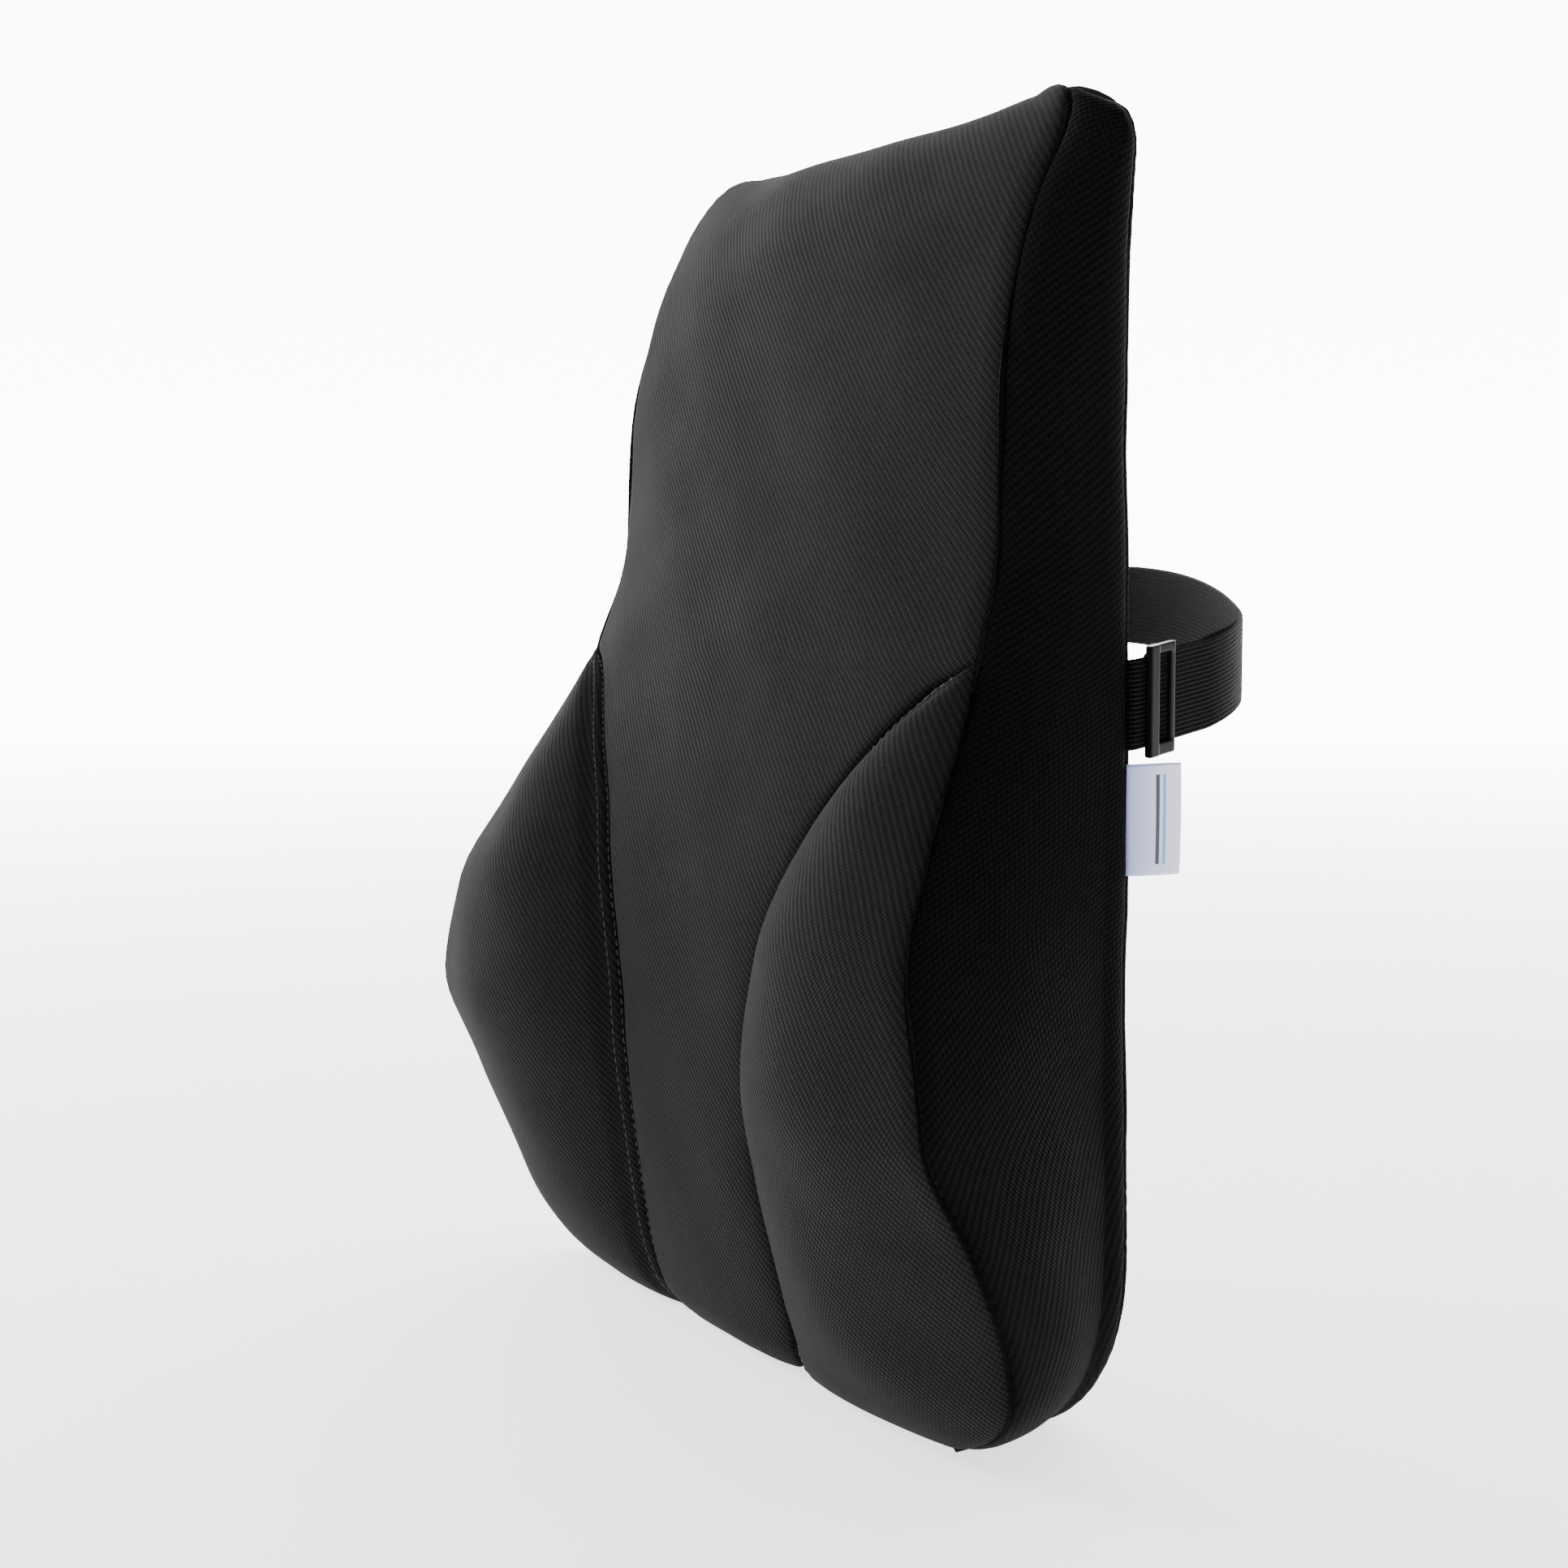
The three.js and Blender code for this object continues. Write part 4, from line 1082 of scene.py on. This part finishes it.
def rounded_frame(name):
    """The tri-glide slide: a broad rounded bar, a thin one, two end plates and a hidden centre bar."""
    half = SLIDE["height"] / 2
    length, broad, thin, end = (SLIDE[key] for key in ("length", "broad", "thin", "plate"))
    clear = STRAP["thick"] / 2 + 0.3
    boxes = {
        "broad_bar": ((0, broad), (-half, half), (clear, clear + 2.6)),
        "thin_bar": ((length - thin, length), (-half, half), (clear, clear + 1.9)),
        "top_plate": ((0.4, length - 0.4), (half - end, half), (clear - 0.9, clear + 2.1)),
        "foot_plate": ((0.4, length - 0.4), (-half, end + 1.1 - half), (clear - 0.9, clear + 2.1)),
        "centre_bar": ((4.9, 8.1), (1 - half, half - 1), (-INNER["offset"] + clear, -clear)),
        "top_web": ((4.2, 8.8), (half - end, half - 0.5), (-INNER["offset"] + clear, clear)),
        "foot_web": ((4.2, 8.8), (0.5 - half, end - half), (-INNER["offset"] + clear, clear)),
    }
    whole = bmesh.new()
    along = Vector((math.cos(LEAN), math.sin(LEAN), 0))
    up = Vector((0, 0, 1))
    outward = along.cross(up)
    middle_z = STRAP["z"] + strap_lift(SLIDE["start"] + length / 2)
    origin = Vector((*start_point, middle_z)) + along * SLIDE["start"]
    turn = Matrix((along, up, outward)).transposed().to_4x4()
    for xs, ys, zs in boxes.values():
        made = bmesh.ops.create_cube(whole, size=1)
        for vertex in made["verts"]:
            local = [a + (b - a) * (0.5 + co) for (a, b), co in zip((xs, ys, zs), vertex.co)]
            local[1] += STRAP["climb"] * (local[0] - length / 2)
            vertex.co = (origin + turn @ Vector(local)) * MM
    mesh = bpy.data.meshes.new(name)
    whole.to_mesh(mesh)
    whole.free()
    obj = add_object(name, mesh)
    remesh = obj.modifiers.new("one body", "REMESH")
    remesh.mode = "VOXEL"
    remesh.voxel_size = 0.28 * MM
    remesh.use_smooth_shade = True
    smooth = obj.modifiers.new("moulded edges", "CORRECTIVE_SMOOTH")
    smooth.factor = 0.5
    smooth.iterations = 6
    smooth.use_only_smooth = True
    return obj


finish_piece(rounded_frame("tri_glide_slide"), "slide", "slide", "strap_slide")


# ---------- label
label_low, label_high = (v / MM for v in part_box("side_label"))
LABEL_WIDTH = label_high.y - label_low.y
LABEL_HEIGHT = label_high.z - label_low.z
LABEL_ROOT = {"share": 0.16, "in": 1.5, "back": 1.6}  # its sewn edge reaches into the rear seam


def label_piece():
    """A satin tag folded at its free edge: two thin layers that part a little, with a soft curl."""
    across, up_count = 26, 30
    half = 0.16
    loop = []
    for layer, order in ((1, range(across + 1)), (-1, range(across, -1, -1))):
        for k in order:
            t = k / across
            part = 0.28 * math.sin(math.pi * min(1, t * 1.1)) * (1 - 0.55 * t)
            loop.append((t, layer * (half + part)))
    vertices, places = [], []
    middle = (label_low.x + label_high.x) / 2
    for j in range(up_count + 1):
        v = j / up_count
        curl = 1.3 * (v - 0.45) ** 2 + 0.25 * math.sin(3.1 * v)
        edge = 0.45 * (1 - (2 * v - 1) ** 2)
        for t, offset in loop:
            y = label_low.y + t * (LABEL_WIDTH - 0.6 + edge)
            x = middle + offset + 1.6 * curl * t * t
            root_pull = max(0.0, 1 - t / LABEL_ROOT["share"]) ** 2
            x -= LABEL_ROOT["in"] * root_pull
            y -= LABEL_ROOT["back"] * root_pull
            vertices.append([x, y, label_low.z + v * LABEL_HEIGHT + 0.35 * math.sin(2.2 * t) * (v - 0.5)])
            places.append([t * LABEL_WIDTH * MM, v * LABEL_HEIGHT * MM])
    return mesh_object("satin_label", vertices, tube_faces(up_count + 1, len(loop)), places)


MATERIALS["label"] = satin("label_satin", LABEL_WIDTH, LABEL_HEIGHT)
label = dress(label_piece(), MATERIALS["label"])
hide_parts("side_label")
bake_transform(label)


# ---------- stage, light and camera
FLOOR_GLOW = 1.9
BACKDROP_GLOW = 8.0
GLOW_REACH = (0.3, 4.3)  # metres from the middle of the floor
SKY = 0.25
STAGE_GREY = (0.80, 0.80, 0.81)
STAGE = {"half_width": 6.0, "floor": -0.0004, "backdrop_away": 4.5, "backdrop_high": 5.0}  # metres
AIM = (0, 0, 0.22)
VIEW_AZIMUTH = 61.892
VIEW_PITCH = 4.51
VIEW_PLACE = (0.8503, -0.4637, 0.2861)
VIEW_LENS = 59.4
LAMPS = (  # name, place, size, power
    ("key", (-1.7, -1.6, 1.6), 0.8, 70),
    ("fill", (1.9, -1.3, 1.2), 1.6, 2),
    ("rim", (1.2, 1.7, 1.4), 1.0, 8),
)


def glow_sheet(name, corners, colour, near, far):
    """A flat stage piece that also glows, more strongly further from the cushion."""
    n = Nodes(name)
    n.set(Base_Color=(*colour, 1.0), Roughness=0.8, Emission_Color=(1.0, 1.0, 1.0, 1.0))
    place = n.node("ShaderNodeTexCoord")
    length = n.node("ShaderNodeVectorMath", operation="LENGTH")
    n.link(place.outputs["Object"], length.inputs[0])
    share = n.node("ShaderNodeMapRange", interpolation_type="SMOOTHSTEP")
    for socket, value in zip(("From Min", "From Max", "To Min", "To Max"), (*GLOW_REACH, near, far)):
        share.inputs[socket].default_value = value
    n.link(length.outputs["Value"], share.inputs["Value"])
    n.link(share.outputs[0], n.shader.inputs["Emission Strength"])
    mesh = bpy.data.meshes.new(name)
    mesh.from_pydata(corners, [], [(0, 1, 2, 3)])
    sheet = dress(add_object(name, mesh), n.material)


def studio():
    """A glowing floor, a bright wall square to the main view on its far side, a sky and three lamps."""
    wide, floor_z = STAGE["half_width"], STAGE["floor"]
    glow_sheet("floor", [(-wide, -wide, floor_z), (wide, -wide, floor_z), (wide, wide, floor_z),
                         (-wide, wide, floor_z)], STAGE_GREY, FLOOR_GLOW, BACKDROP_GLOW)
    yaw = math.radians(VIEW_AZIMUTH)
    away = Vector((-math.sin(yaw), math.cos(yaw), 0))
    across = Vector((math.cos(yaw), math.sin(yaw), 0))
    foot = away * STAGE["backdrop_away"] + Vector((0, 0, floor_z))
    top = Vector((0, 0, STAGE["backdrop_high"]))
    glow_sheet("backdrop", [foot - across * wide, foot + across * wide, foot + across * wide + top,
                            foot - across * wide + top], STAGE_GREY, BACKDROP_GLOW, BACKDROP_GLOW)
    world = bpy.data.worlds.new("studio")
    world.use_nodes = True
    sky = world.node_tree.nodes["Background"]
    sky.inputs[0].default_value = (1.0, 1.0, 1.0, 1.0)
    sky.inputs[1].default_value = SKY
    bpy.context.scene.world = world
    for name, place, size, power in LAMPS:
        data = bpy.data.lights.new(name, "AREA")
        data.size = size
        data.energy = power
        lamp = add_object(name, data)
        lamp.location = place
        lamp.rotation_euler = (Vector(AIM) - Vector(place)).to_track_quat("-Z", "Y").to_euler()


def camera():
    data = bpy.data.cameras.new("camera")
    data.sensor_width = 36
    data.lens = VIEW_LENS
    data.clip_start = 0.01
    data.clip_end = 50
    obj = add_object("camera", data)
    obj.location = VIEW_PLACE
    obj.rotation_euler = (math.radians(90 - VIEW_PITCH), 0, math.radians(VIEW_AZIMUTH))
    bpy.context.scene.camera = obj


studio()
camera()
